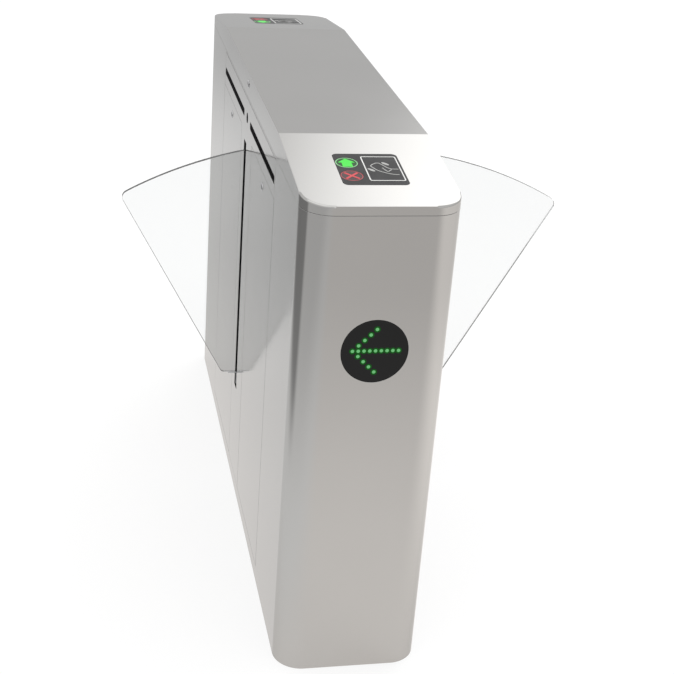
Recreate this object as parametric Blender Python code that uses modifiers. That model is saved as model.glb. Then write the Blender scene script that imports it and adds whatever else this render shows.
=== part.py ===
"""Sliding barrier turnstile for two passages, in metres, +Z up.

The origin is the centre of the base on the floor. X runs across the passage, Y along it,
and the near end of the cabinet is at -Y. Each wing slides out along X through its own slot.
The left wing is the right one turned half round Z. At rest the left wing stands at its short
reach and the right one at its long reach.
"""

import math

import bmesh
import bpy
from mathutils import Matrix, Vector

# Clearances and overruns shared by all pieces
GAP = 0.0003
SHEET_LINE = 0.0006
OVERRUN = 0.010
BITE = 0.0005
WELD = 0.000001
SCREW_MERGE = 0.00001

# Cabinet skin
CABINET_WIDTH = 0.280
CABINET_LENGTH = 1.400
CABINET_HEIGHT = 0.980
CORNER_RADIUS = 0.055
SHEET = 0.002
PLINTH_HEIGHT = 0.031
OPENING_HALF_LENGTH = 0.396
OPENING_TOP_BORDER = 0.005

# Fascia of one side: a strip above the doors and a stem between them
FASCIA_STRIP_HEIGHT = 0.075
FASCIA_STEM_HALF_WIDTH = 0.080
FASCIA_FLANGE_DEPTH = 0.008

# Sensor windows in the strip
SLIT_START_Y = 0.046
SLIT_END_Y = 0.388
SLIT_BELOW_TOP = 0.042
SLIT_HEIGHT = 0.0155
SLIT_END_RADIUS = 0.004
EYE_BELOW_TOP = 0.040
EYE_RADIUS = 0.011
WINDOW_THICKNESS = 0.003

# Lid
LID_SKIRT_HEIGHT = 0.050
LID_SLOPE_RUN = 0.293
LID_SLOPE_DROP = 0.033
LID_EDGE_RADIUS = 0.004

# Service doors
DOOR_PAN_DEPTH = 0.010

# Cam locks
LOCK_HEAD_RADIUS = 0.0085
LOCK_HEAD_PROUD = 0.0015
LOCK_BARREL_RADIUS = 0.007
LOCK_CAM_LENGTH = 0.038
LOCK_CAM_WIDTH = 0.012
LOCK_CAM_THICKNESS = 0.0025
LOCK_CAM_CLEARANCE = 0.001
DOOR_LOCK_Y = 0.245
DOOR_LOCK_BELOW_TOP = 0.030
LID_LOCK_OVER_SEAM = 0.028

# Lid hinge
HINGE_LENGTH = 0.700
HINGE_KNUCKLES = 7
HINGE_KNUCKLE_RADIUS = 0.004
HINGE_KNUCKLE_GAP = 0.0005
HINGE_PIN_RADIUS = 0.002
HINGE_LEAF_THICKNESS = 0.0015
HINGE_LEAF_WIDTH = 0.018
HINGE_AXIS_OUT = 0.0045

# Base plate
BASE_THICKNESS = 0.006
ANCHOR_FROM_SIDE = 0.045
ANCHOR_Y = 0.340
ANCHOR_RADIUS = 0.007
ENTRY_Y = 0.250
ENTRY_WIDTH = 0.120
ENTRY_LENGTH = 0.070
ENTRY_RADIUS = 0.010

# Arrow indicators in the two ends
INDICATOR_BELOW_SEAM = 0.250
INDICATOR_RADIUS = 0.060
INDICATOR_FLANGE_RADIUS = 0.066
INDICATOR_FLANGE_THICKNESS = 0.002
INDICATOR_HOUSING_RADIUS = 0.052
INDICATOR_HOUSING_DEPTH = 0.018

# Reader panels on the two slopes of the lid
READER_FROM_END = 0.143
READER_WIDTH = 0.117
READER_LENGTH = 0.126
READER_RADIUS = 0.010
MODULE_FLANGE_BORDER = 0.008
MODULE_FLANGE_THICKNESS = 0.002
MODULE_WIDTH = 0.100
MODULE_LENGTH = 0.108
MODULE_DEPTH = 0.012
ICON_RADIUS = 0.020
ICON_X = -0.0375
ICON_HALF_SPACING = 0.026

# Wing slot, in the frame of the wing that slides towards +X
WING_Y = -0.016
SLOT_WIDTH = 0.028
SLOT_BOTTOM_Z = 0.245
SLOT_BELOW_STRIP = 0.022
TRIM_WALL = 0.0015
TRIM_DEPTH = 0.004
TRIM_PROUD = 0.0003

# Outer leaf
LEAF_THICKNESS = 0.010
LEAF_OVER_BEAM = 0.004
LEAF_TIP_DROP = 0.1054
LEAF_BELOW_SLOT_TOP = 0.0146
LEAF_TOP_RADIUS = 0.900
LEAF_TIP_RADIUS = 0.015
LEAF_TIP_OVERSHOOT = 0.0056
LEAF_FOOT_RADIUS = 0.012
LEAF_FOOT_WIDTH = 0.061
LEAF_TIP_PROUD = 0.010

# Inner leaf
INNER_LEAF_THICKNESS = 0.008
INNER_LEAF_BACK_INSET = 0.001
INNER_LEAF_FRONT_INSET = 0.012
INNER_LEAF_BELOW_SLOT_TOP = 0.022
INNER_LEAF_RADIUS = 0.015

# Beam that carries the inner leaf and guides the outer one
BEAM_WIDTH = 0.022
BEAM_OVER_SLOT_BOTTOM = 0.003
BEAM_HEIGHT = 0.028
BEAM_BACK_FROM_SIDE = 0.004
BEAM_FRONT_FROM_SIDE = 0.002
BEAM_END_WALL = 0.003
BEAM_OUTER_WALL = 0.002
BEAM_GROOVE_WIDTH = 0.007
BEAM_FLOOR = 0.006

# Carrier of the outer leaf
STILE_WIDTH = 0.010
STILE_BELOW_LEAF_TOP = 0.0134
SHELF_LENGTH = 0.046
SHOE_LENGTH = 0.018
SHOE_INSET = 0.004

# Rack and pinion
GEAR_MODULE = 0.0015
PINION_TEETH = 20
PINION_X = 0.060
PINION_WIDTH = 0.008
PINION_SHAFT_RADIUS = 0.004
TOOTH_DEDENDUM_SHARE = 1.25
RACK_TIP_WIDTH_SHARE = 0.55
RACK_ROOT_WIDTH_SHARE = 1.95
PINION_TIP_WIDTH_SHARE = 0.45
PINION_ROOT_WIDTH_SHARE = 1.35
RACK_SIDE_CLEARANCE = 0.0006

# Travel of the two stages: the first is a whole number of rack teeth, and the second ends where
# the carrier's shoe comes to the end of its groove
BEAM_TRAVEL_TEETH = 33
LEAF_STOP_GAP = 0.001

# Belt that moves the outer leaf along the beam
PULLEY_RADIUS = 0.006
PULLEY_WIDTH = 0.006
PULLEY_OVER_GROOVE = 0.0085
PULLEY_FROM_END = 0.014
AXLE_RADIUS = 0.0017
AXLE_REACH = 0.004
BELT_THICKNESS = 0.001
BELT_WIDTH = 0.0056

# Motors
GEAR_MOTOR_RADIUS = 0.016
GEAR_MOTOR_LENGTH = 0.026
GEAR_MOTOR_CAN_RADIUS = 0.013
GEAR_MOTOR_CAN_LENGTH = 0.038
BELT_MOTOR_RADIUS = 0.011
BELT_MOTOR_LENGTH = 0.036
BELT_MOTOR_NOSE_RADIUS = 0.004
BELT_MOTOR_NOSE_LENGTH = 0.004

# Drive frame
GUIDE_FROM_SIDE = 0.0045
GUIDE_HALF_WIDTH = 0.030
GUIDE_CHEEK_HEIGHT = 0.006
GUIDE_FLOOR_BELOW_BEAM = 0.012
FRAME_PLATE_INSET = 0.0055
FRAME_PLATE_HALF_WIDTH = 0.031
FRAME_PLATE_THICKNESS = 0.008
FRAME_LEG_INSET = 0.013
FRAME_LEG_THICKNESS = 0.006
FRAME_LEG_HALF_WIDTH = 0.028
PINION_WINDOW_HALF_LENGTH = 0.018
PINION_WINDOW_HALF_WIDTH = 0.0055
SHAFT_NOTCH_HALF_LENGTH = 0.006

# Electrical boxes on the base plate
CONTROL_BOX_SIZE = (0.160, 0.240, 0.070)
CONTROL_BOX_FROM_END = 0.110
POWER_SUPPLY_SIZE = (0.110, 0.200, 0.050)
POWER_SUPPLY_FROM_END = 0.130
BOX_EDGE_RADIUS = 0.004

# Roundness of the solids
CORNER_STEPS = 10
SMALL_CORNER_STEPS = 4
DISC_STEPS = 48
SMALL_ROUND_STEPS = 24
ARC_STEPS = 14

# Values that follow from the sizes above
HALF_WIDTH = CABINET_WIDTH / 2
HALF_LENGTH = CABINET_LENGTH / 2
INSIDE_X = HALF_WIDTH - SHEET
LID_SEAM_Z = CABINET_HEIGHT - LID_SKIRT_HEIGHT
LID_BOTTOM_Z = LID_SEAM_Z + SHEET_LINE
LID_LOCK_Z = LID_SEAM_Z + LID_LOCK_OVER_SEAM
SLOPE_ANGLE = math.atan2(LID_SLOPE_DROP, LID_SLOPE_RUN)
OPENING_TOP_Z = LID_SEAM_Z - OPENING_TOP_BORDER
SLIT_Z = OPENING_TOP_Z - SLIT_BELOW_TOP
EYE_Z = OPENING_TOP_Z - EYE_BELOW_TOP
FASCIA_STRIP_Z = OPENING_TOP_Z - FASCIA_STRIP_HEIGHT
DOOR_LOCK_Z = FASCIA_STRIP_Z - DOOR_LOCK_BELOW_TOP
INDICATOR_Z = LID_SEAM_Z - INDICATOR_BELOW_SEAM
ANCHOR_X = HALF_WIDTH - ANCHOR_FROM_SIDE
SLOT_TOP_Z = FASCIA_STRIP_Z - SLOT_BELOW_STRIP
BEAM_BACK_X = BEAM_BACK_FROM_SIDE - HALF_WIDTH
BEAM_FRONT_X = HALF_WIDTH - BEAM_FRONT_FROM_SIDE
BEAM_BOTTOM_Z = SLOT_BOTTOM_Z + BEAM_OVER_SLOT_BOTTOM
BEAM_TOP_Z = BEAM_BOTTOM_Z + BEAM_HEIGHT
BEAM_GROOVE_Z = BEAM_BOTTOM_Z + BEAM_FLOOR
INNER_LEAF_BACK_X = BEAM_BACK_X + INNER_LEAF_BACK_INSET
INNER_LEAF_FRONT_X = BEAM_FRONT_X - INNER_LEAF_FRONT_INSET
INNER_LEAF_TOP_Z = SLOT_TOP_Z - INNER_LEAF_BELOW_SLOT_TOP
RETRACTED_TIP_X = HALF_WIDTH + LEAF_TIP_PROUD
LEAF_WIDTH = RETRACTED_TIP_X - BEAM_BACK_X
LEAF_BOTTOM_Z = BEAM_TOP_Z + LEAF_OVER_BEAM
LEAF_TOP_Z = SLOT_TOP_Z - LEAF_BELOW_SLOT_TOP
LEAF_TIP_Z = LEAF_TOP_Z - LEAF_TIP_DROP
STILE_TOP_Z = LEAF_TOP_Z - STILE_BELOW_LEAF_TOP
GUIDE_HALF_LENGTH = HALF_WIDTH - GUIDE_FROM_SIDE
GUIDE_CHEEK_Z = BEAM_BOTTOM_Z + GUIDE_CHEEK_HEIGHT
GUIDE_FLOOR_Z = BEAM_BOTTOM_Z - GUIDE_FLOOR_BELOW_BEAM
FRAME_PLATE_HALF_LENGTH = GUIDE_HALF_LENGTH - FRAME_PLATE_INSET
FRAME_LEG_X = FRAME_PLATE_HALF_LENGTH - FRAME_LEG_INSET
RACK_PITCH = math.pi * GEAR_MODULE
RACK_PITCH_Z = BEAM_BOTTOM_Z + GEAR_MODULE
PINION_RADIUS = GEAR_MODULE * PINION_TEETH / 2
PINION_Z = RACK_PITCH_Z - PINION_RADIUS
BEAM_TRAVEL = BEAM_TRAVEL_TEETH * RACK_PITCH
SHOE_END_X = BEAM_BACK_X + SHOE_INSET + SHOE_LENGTH
LEAF_TRAVEL = BEAM_FRONT_X - BEAM_END_WALL - LEAF_STOP_GAP - SHOE_END_X
OUTER_LEAF_Y = WING_Y - BEAM_WIDTH / 2 + LEAF_THICKNESS / 2
INNER_LEAF_Y = WING_Y + BEAM_WIDTH / 2 - INNER_LEAF_THICKNESS / 2
GROOVE_LOW_Y = WING_Y - BEAM_WIDTH / 2 + BEAM_OUTER_WALL
GROOVE_HIGH_Y = GROOVE_LOW_Y + BEAM_GROOVE_WIDTH
PULLEY_Y = (GROOVE_LOW_Y + GROOVE_HIGH_Y) / 2
PULLEY_Z = BEAM_GROOVE_Z + PULLEY_OVER_GROOVE
DRIVE_PULLEY_X = BEAM_BACK_X + PULLEY_FROM_END
IDLE_PULLEY_X = BEAM_FRONT_X - PULLEY_FROM_END
BELT_INNER_RADIUS = PULLEY_RADIUS + GAP
BELT_OUTER_RADIUS = BELT_INNER_RADIUS + BELT_THICKNESS
SHOE_BOTTOM_Z = PULLEY_Z + BELT_OUTER_RADIUS + GAP

PARTS = None
CUTTERS = None
COLOURS = {}


def clear_scene():
    for obj in list(bpy.data.objects):
        bpy.data.objects.remove(obj, do_unlink=True)


def make_collections():
    global PARTS, CUTTERS
    PARTS = bpy.data.collections.new("sliding_barrier_turnstile")
    CUTTERS = bpy.data.collections.new("cutters")
    for collection in (PARTS, CUTTERS):
        bpy.context.scene.collection.children.link(collection)


def colour(name, rgb, roughness, metallic, alpha=1.0):
    """Add a Principled material under a name that the pieces ask for."""
    material = bpy.data.materials.new(name)
    material.use_nodes = True
    shader = material.node_tree.nodes["Principled BSDF"]
    shader.inputs["Base Color"].default_value = (*rgb, 1.0)
    shader.inputs["Roughness"].default_value = roughness
    shader.inputs["Metallic"].default_value = metallic
    shader.inputs["Alpha"].default_value = alpha
    COLOURS[name] = material


def make_colours():
    colour("stainless_sheet", (0.62, 0.61, 0.60), 0.28, 1.0)
    colour("zinc_steel", (0.50, 0.51, 0.53), 0.45, 1.0)
    colour("bare_aluminium", (0.72, 0.73, 0.74), 0.35, 1.0)
    colour("machined_steel", (0.55, 0.55, 0.56), 0.30, 1.0)
    colour("lock_chrome", (0.70, 0.70, 0.70), 0.15, 1.0)
    colour("dark_window", (0.012, 0.012, 0.014), 0.12, 0.0)
    colour("reader_glass", (0.065, 0.065, 0.068), 0.25, 0.0)
    colour("black_housing", (0.03, 0.03, 0.03), 0.55, 0.0)
    colour("black_rubber", (0.02, 0.02, 0.02), 0.80, 0.0)
    colour("clear_acrylic", (0.90, 0.92, 0.92), 0.05, 0.0, 0.25)
    colour("pass_green", (0.10, 0.75, 0.12), 0.30, 0.0)
    colour("stop_red", (0.65, 0.05, 0.05), 0.30, 0.0)


# Small tools for meshes and placing


def bare_mesh(name, build):
    mesh = bpy.data.meshes.new(name)
    shape = bmesh.new()
    build(shape)
    bmesh.ops.recalc_face_normals(shape, faces=shape.faces)
    shape.to_mesh(mesh)
    shape.free()
    return mesh


def box_mesh(name, low, high):
    size = [b - a for a, b in zip(low, high)]
    centre = [(a + b) / 2 for a, b in zip(low, high)]

    def build(shape):
        bmesh.ops.create_cube(shape, size=1.0)
        bmesh.ops.scale(shape, vec=size, verts=shape.verts)
        bmesh.ops.translate(shape, vec=centre, verts=shape.verts)

    return bare_mesh(name, build)


def rod_mesh(name, radius, start, end, steps=SMALL_ROUND_STEPS):
    """A cylinder from one point to another."""
    start, end = Vector(start), Vector(end)
    turn = (end - start).to_track_quat("Z", "Y").to_matrix().to_4x4()

    def build(shape):
        bmesh.ops.create_cone(
            shape,
            cap_ends=True,
            segments=steps,
            radius1=radius,
            radius2=radius,
            depth=(end - start).length,
            matrix=Matrix.Translation((start + end) / 2) @ turn,
        )

    return bare_mesh(name, build)


def outline_mesh(name, loops, thickness):
    """A flat outline with its holes in the XY plane, given a thickness that is centred on the plane."""
    curve = bpy.data.curves.new(name, "CURVE")
    curve.dimensions = "2D"
    curve.fill_mode = "BOTH"
    curve.extrude = thickness / 2
    for loop in loops:
        spline = curve.splines.new("POLY")
        spline.points.add(len(loop) - 1)
        for point, (x, y) in zip(spline.points, loop):
            point.co = (x, y, 0.0, 1.0)
        spline.use_cyclic_u = True
    guide = bpy.data.objects.new(name, curve)
    bpy.context.scene.collection.objects.link(guide)
    graph = bpy.context.evaluated_depsgraph_get()
    mesh = bpy.data.meshes.new_from_object(guide.evaluated_get(graph))
    bpy.data.objects.remove(guide)
    bpy.data.curves.remove(curve)
    shape = bmesh.new()
    shape.from_mesh(mesh)
    bmesh.ops.remove_doubles(shape, verts=shape.verts, dist=WELD)
    bmesh.ops.recalc_face_normals(shape, faces=shape.faces)
    shape.to_mesh(mesh)
    shape.free()
    return mesh


def arc(centre, radius, start, end, steps):
    """Points on an arc from one angle to another, both ends included."""
    points = []
    for step in range(steps + 1):
        angle = start + (end - start) * step / steps
        points.append((centre[0] + radius * math.cos(angle), centre[1] + radius * math.sin(angle)))
    return points


def circle(centre, radius, steps=SMALL_ROUND_STEPS):
    return arc(centre, radius, 0.0, math.tau, steps)[:-1]


def rectangle(low, high):
    return [(low[0], low[1]), (high[0], low[1]), (high[0], high[1]), (low[0], high[1])]


def rounded(points, radii, steps=SMALL_CORNER_STEPS):
    """The polygon with each corner rounded by its own radius, or left sharp where that is zero."""
    outline = []
    for index, (corner, radius) in enumerate(zip(points, radii)):
        here = Vector(corner)
        before = (Vector(points[index - 1]) - here).normalized()
        after = (Vector(points[(index + 1) % len(points)]) - here).normalized()
        if not radius:
            outline.append(tuple(here))
            continue
        half = before.angle(after) / 2
        centre = here + (before + after).normalized() * radius / math.sin(half)
        start = here + before * radius / math.tan(half) - centre
        end = here + after * radius / math.tan(half) - centre
        first = math.atan2(start.y, start.x)
        turn = math.remainder(math.atan2(end.y, end.x) - first, math.tau)
        outline += arc(centre, radius, first, first + turn, steps)
    return outline


def rounded_rectangle(low, high, radius, steps=SMALL_CORNER_STEPS):
    return rounded(rectangle(low, high), [radius] * 4, steps)


# Planes that an outline is laid in: the outline's own x, y and thickness become these axes
FACING_SIDE = Matrix(((0, 0, 1, 0), (1, 0, 0, 0), (0, 1, 0, 0), (0, 0, 0, 1)))
FACING_END = Matrix(((1, 0, 0, 0), (0, 0, -1, 0), (0, 1, 0, 0), (0, 0, 0, 1)))
FLAT = Matrix.Identity(4)


def at(x=0.0, y=0.0, z=0.0):
    return Matrix.Translation((x, y, z))


def helper(name, matrix, parent=None):
    """An empty that carries the pieces of one group."""
    empty = bpy.data.objects.new(name, None)
    PARTS.objects.link(empty)
    empty.parent = parent
    empty.matrix_basis = matrix
    return empty


def piece(name, mesh, finish, matrix=FLAT, parent=None, smooth=True):
    obj = bpy.data.objects.new(name, mesh)
    PARTS.objects.link(obj)
    obj.parent = parent
    obj.matrix_basis = matrix
    mesh.materials.clear()
    mesh.materials.append(COLOURS[finish])
    if smooth:
        mesh.shade_smooth()
        mesh.set_sharp_from_angle(angle=math.radians(30.0))
    return obj


def cutter(mesh, matrix=FLAT, parent=None):
    obj = bpy.data.objects.new("cutter_" + mesh.name, mesh)
    CUTTERS.objects.link(obj)
    obj.parent = parent
    obj.matrix_basis = matrix
    obj.hide_render = True
    obj.display_type = "WIRE"
    return obj


def boolean(target, other, operation):
    modifier = target.modifiers.new(other.name, "BOOLEAN")
    modifier.operation = operation
    modifier.solver = "EXACT"
    modifier.object = other


def cut(target, *others):
    for other in others:
        boolean(target, other, "DIFFERENCE")


def join(target, *others):
    for other in others:
        boolean(target, other, "UNION")


def bevel(target, width, segments=2):
    modifier = target.modifiers.new("edges", "BEVEL")
    modifier.width = width
    modifier.segments = segments
    modifier.limit_method = "ANGLE"
    modifier.angle_limit = math.radians(40.0)


def turned(name, profile, finish, matrix, parent=None, steps=SMALL_ROUND_STEPS):
    """A turned piece: the profile of (radius, height) points runs down its outer side round Z."""
    mesh = bpy.data.meshes.new(name)
    points = [(radius, 0.0, height) for radius, height in profile]
    edges = [(index, index + 1) for index in range(len(points) - 1)]
    mesh.from_pydata(points, edges, [])
    obj = piece(name, mesh, finish, matrix, parent, smooth=False)
    screw = obj.modifiers.new("turn", "SCREW")
    screw.axis = "Z"
    screw.angle = math.tau
    screw.steps = steps
    screw.render_steps = steps
    screw.use_merge_vertices = True
    screw.merge_threshold = SCREW_MERGE
    return obj


# Cabinet skin


def cabinet_plan(inset):
    """The cabinet's rounded plan, drawn in by an inset."""
    x, y = HALF_WIDTH - inset, HALF_LENGTH - inset
    return rounded_rectangle((-x, -y), (x, y), CORNER_RADIUS - inset, CORNER_STEPS)


def make_shell():
    loops = [cabinet_plan(0.0), cabinet_plan(SHEET)]
    mesh = outline_mesh("cabinet_shell", loops, LID_SEAM_Z)
    shell = piece("cabinet_shell", mesh, "stainless_sheet", at(z=LID_SEAM_Z / 2))
    side = box_mesh(
        "side_openings",
        (-HALF_WIDTH - OVERRUN, -OPENING_HALF_LENGTH, PLINTH_HEIGHT),
        (HALF_WIDTH + OVERRUN, OPENING_HALF_LENGTH, OPENING_TOP_Z),
    )
    reach = HALF_LENGTH + OVERRUN
    ends = rod_mesh(
        "indicator_openings",
        INDICATOR_RADIUS + GAP,
        (0.0, -reach, INDICATOR_Z),
        (0.0, reach, INDICATOR_Z),
        DISC_STEPS,
    )
    cut(shell, cutter(side), cutter(ends))


def make_base_plate():
    holes = []
    for side in (-1, 1):
        for end in (-1, 1):
            holes.append(circle((side * ANCHOR_X, end * ANCHOR_Y), ANCHOR_RADIUS))
    entry = rounded_rectangle(
        (-ENTRY_WIDTH / 2, ENTRY_Y - ENTRY_LENGTH / 2),
        (ENTRY_WIDTH / 2, ENTRY_Y + ENTRY_LENGTH / 2),
        ENTRY_RADIUS,
    )
    loops = [cabinet_plan(SHEET + GAP), entry, *holes]
    mesh = outline_mesh("base_plate", loops, BASE_THICKNESS)
    piece("base_plate", mesh, "zinc_steel", at(z=BASE_THICKNESS / 2))


def make_boxes():
    """The control box and the power supply stand on the base plate."""
    bottom = BASE_THICKNESS + GAP
    boxes = (
        ("control_box", CONTROL_BOX_SIZE, -1, CONTROL_BOX_FROM_END, "black_housing"),
        ("power_supply", POWER_SUPPLY_SIZE, 1, POWER_SUPPLY_FROM_END, "bare_aluminium"),
    )
    for name, size, end, from_end, finish in boxes:
        y = end * (HALF_LENGTH - from_end - size[1] / 2)
        low = (-size[0] / 2, y - size[1] / 2, bottom)
        high = (size[0] / 2, y + size[1] / 2, bottom + size[2])
        bevel(piece(name, box_mesh(name, low, high), finish), BOX_EDGE_RADIUS)


# The two sides, each built in a frame whose +X points out of that side


def slot_rectangle(border):
    half = SLOT_WIDTH / 2 + border
    return rectangle((WING_Y - half, SLOT_BOTTOM_Z - border), (WING_Y + half, SLOT_TOP_Z + border))


def slit_rectangle(end, border):
    low = (SLIT_START_Y - border, SLIT_Z - SLIT_HEIGHT / 2 - border)
    high = (SLIT_END_Y + border, SLIT_Z + SLIT_HEIGHT / 2 + border)
    if end < 0:
        low, high = (-high[0], low[1]), (-low[0], high[1])
    return rounded_rectangle(low, high, SLIT_END_RADIUS + border)


def make_fascia(side, frame):
    """A T of sheet: one plate with the two door places cut away, and a flange over the doors."""
    strip = OPENING_HALF_LENGTH - SHEET_LINE
    bottom = PLINTH_HEIGHT + SHEET_LINE
    outline = rectangle((-strip, bottom), (strip, OPENING_TOP_Z - SHEET_LINE))
    loops = [outline, slot_rectangle(TRIM_WALL + GAP), circle((0.0, EYE_Z), EYE_RADIUS + GAP)]
    loops += [slit_rectangle(end, GAP) for end in (-1, 1)]
    name = side + "_fascia"
    place = at(x=HALF_WIDTH - SHEET / 2) @ FACING_SIDE
    fascia = piece(name, outline_mesh(name, loops, SHEET), "stainless_sheet", place, frame)
    for end in (-1, 1):
        ys = sorted((end * FASCIA_STEM_HALF_WIDTH, end * (strip + OVERRUN)))
        door_place = box_mesh(
            name + "_door_place",
            (INSIDE_X - OVERRUN, ys[0], bottom - OVERRUN),
            (HALF_WIDTH + OVERRUN, ys[1], FASCIA_STRIP_Z),
        )
        cut(fascia, cutter(door_place, FLAT, frame))
    flange = box_mesh(
        name + "_flange",
        (INSIDE_X - FASCIA_FLANGE_DEPTH, -strip + SHEET, FASCIA_STRIP_Z + GAP),
        (INSIDE_X + BITE, strip - SHEET, FASCIA_STRIP_Z + GAP + SHEET),
    )
    join(fascia, cutter(flange, FLAT, frame))


def end_word(side_sign, end):
    """The word for an end of the side frame: the near end of the cabinet is its front."""
    return "front" if side_sign * end < 0 else "rear"


def make_windows(side, side_sign, frame):
    place = at(x=HALF_WIDTH - WINDOW_THICKNESS / 2) @ FACING_SIDE
    for end in (-1, 1):
        name = side + "_" + end_word(side_sign, end) + "_slit_window"
        mesh = outline_mesh(name, [slit_rectangle(end, 0.0)], WINDOW_THICKNESS)
        piece(name, mesh, "dark_window", place, frame)
    name = side + "_eye_window"
    mesh = outline_mesh(name, [circle((0.0, EYE_Z), EYE_RADIUS)], WINDOW_THICKNESS)
    piece(name, mesh, "dark_window", place, frame)


def make_slot_trim(side, frame):
    name = side + "_slot_trim"
    mesh = outline_mesh(name, [slot_rectangle(TRIM_WALL), slot_rectangle(0.0)], TRIM_DEPTH)
    place = at(x=HALF_WIDTH + TRIM_PROUD - TRIM_DEPTH / 2) @ FACING_SIDE
    piece(name, mesh, "black_rubber", place, frame)


def make_lock(name, y, z, cam_down, frame):
    """A cam lock whose head faces +X. Its cam lies along Y at rest, so that its cover opens."""
    origin = helper(name + "_axis", at(HALF_WIDTH, y, z), frame)
    cam_high = -DOOR_PAN_DEPTH - LOCK_CAM_CLEARANCE
    cam_low = cam_high - LOCK_CAM_THICKNESS
    head = rod_mesh(name, LOCK_HEAD_RADIUS, (-SHEET - BITE, 0.0, 0.0), (LOCK_HEAD_PROUD, 0.0, 0.0))
    lock = piece(name, head, "lock_chrome", FLAT, origin)
    barrel = rod_mesh(name + "_barrel", LOCK_BARREL_RADIUS, (cam_low, 0.0, 0.0), (-SHEET, 0.0, 0.0))
    way = -1 if cam_down else 1
    tip = sorted((-way * LOCK_CAM_WIDTH / 2, way * LOCK_CAM_LENGTH))
    cam = box_mesh(
        name + "_cam",
        (cam_low - BITE, tip[0], -LOCK_CAM_WIDTH / 2),
        (cam_high, tip[1], LOCK_CAM_WIDTH / 2),
    )
    join(lock, cutter(barrel, FLAT, origin), cutter(cam, FLAT, origin))


def lock_hole(name, y, z, frame):
    start = (HALF_WIDTH - SHEET - OVERRUN, y, z)
    end = (HALF_WIDTH + OVERRUN, y, z)
    return cutter(rod_mesh(name + "_hole", LOCK_HEAD_RADIUS + GAP, start, end), FLAT, frame)


def make_door(side, side_sign, end, frame):
    """A pan door that tilts out round its lower outer edge."""
    name = side + "_" + end_word(side_sign, end) + "_door"
    width = OPENING_HALF_LENGTH - FASCIA_STEM_HALF_WIDTH - 2 * SHEET_LINE
    height = FASCIA_STRIP_Z - PLINTH_HEIGHT - 2 * SHEET_LINE
    y = end * (OPENING_HALF_LENGTH + FASCIA_STEM_HALF_WIDTH) / 2
    hinge = helper(name + "_hinge", at(HALF_WIDTH, y, PLINTH_HEIGHT), frame)
    low = (-DOOR_PAN_DEPTH, -width / 2, SHEET_LINE)
    high = (0.0, width / 2, SHEET_LINE + height)
    door = piece(name, box_mesh(name, low, high), "stainless_sheet", FLAT, hinge)
    hollow = box_mesh(
        name + "_hollow",
        (low[0] - OVERRUN, low[1] + SHEET, low[2] + SHEET),
        (-SHEET, high[1] - SHEET, high[2] - SHEET),
    )
    lock_name = name + "_lock"
    lock_y = end * DOOR_LOCK_Y
    cut(door, cutter(hollow, FLAT, hinge), lock_hole(lock_name, lock_y, DOOR_LOCK_Z, frame))
    make_lock(lock_name, lock_y, DOOR_LOCK_Z, False, frame)


# Lid, its hinge and its lock


def lid_profile(lower):
    """The lid's side outline in Y and Z, its top lowered by a wall, with room beyond the ends."""
    flat = HALF_LENGTH - LID_SLOPE_RUN
    reach = HALF_LENGTH + OVERRUN
    end_z = CABINET_HEIGHT - lower - (reach - flat) * math.tan(SLOPE_ANGLE)
    floor = PLINTH_HEIGHT
    top = CABINET_HEIGHT - lower
    return [(-reach, floor), (reach, floor), (reach, end_z), (flat, top), (-flat, top), (-reach, end_z)]


def lid_block(name, inset, lower):
    """The rounded plan as a prism, and the side outline that cuts it to height."""
    height = CABINET_HEIGHT - LID_SEAM_Z + 2 * OVERRUN
    plan = outline_mesh(name, [cabinet_plan(inset)], height)
    side = outline_mesh(name + "_side", [lid_profile(lower)], CABINET_WIDTH + 2 * OVERRUN)
    return plan, at(z=LID_SEAM_Z - OVERRUN + height / 2), cutter(side, FACING_SIDE)


def slope_frame(name, end):
    """An empty on the slope of one end, at the middle of its reader, +Z out of the sheet."""
    y = end * (HALF_LENGTH - READER_FROM_END)
    z = CABINET_HEIGHT - LID_SLOPE_DROP + READER_FROM_END * math.tan(SLOPE_ANGLE)
    return helper(name, at(0.0, y, z) @ Matrix.Rotation(-end * SLOPE_ANGLE, 4, "X"))


def reader_outline(border):
    half = (READER_WIDTH / 2 + border, READER_LENGTH / 2 + border)
    return rounded_rectangle((-half[0], -half[1]), half, READER_RADIUS + border)


def make_lid(slopes):
    plan, place, side = lid_block("lid", 0.0, 0.0)
    lid = piece("lid", plan, "stainless_sheet", place)
    boolean(lid, side, "INTERSECT")
    bevel(lid, LID_EDGE_RADIUS, 3)
    plan, place, side = lid_block("lid_hollow", SHEET, SHEET)
    hollow = cutter(plan, place)
    boolean(hollow, side, "INTERSECT")
    reach = (HALF_WIDTH + OVERRUN, HALF_LENGTH + OVERRUN)
    below = box_mesh("lid_below", (-reach[0], -reach[1], PLINTH_HEIGHT), (*reach, LID_BOTTOM_Z))
    cut(lid, hollow, cutter(below))
    for frame in slopes:
        mesh = outline_mesh(frame.name + "_opening", [reader_outline(GAP)], 2 * OVERRUN)
        cut(lid, cutter(mesh, FLAT, frame))
    left = helper("lid_lock_side", Matrix.Rotation(math.pi, 4, "Z"))
    cut(lid, lock_hole("lid_lock", 0.0, LID_LOCK_Z, left))
    make_lock("lid_lock", 0.0, LID_LOCK_Z, True, left)


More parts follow.
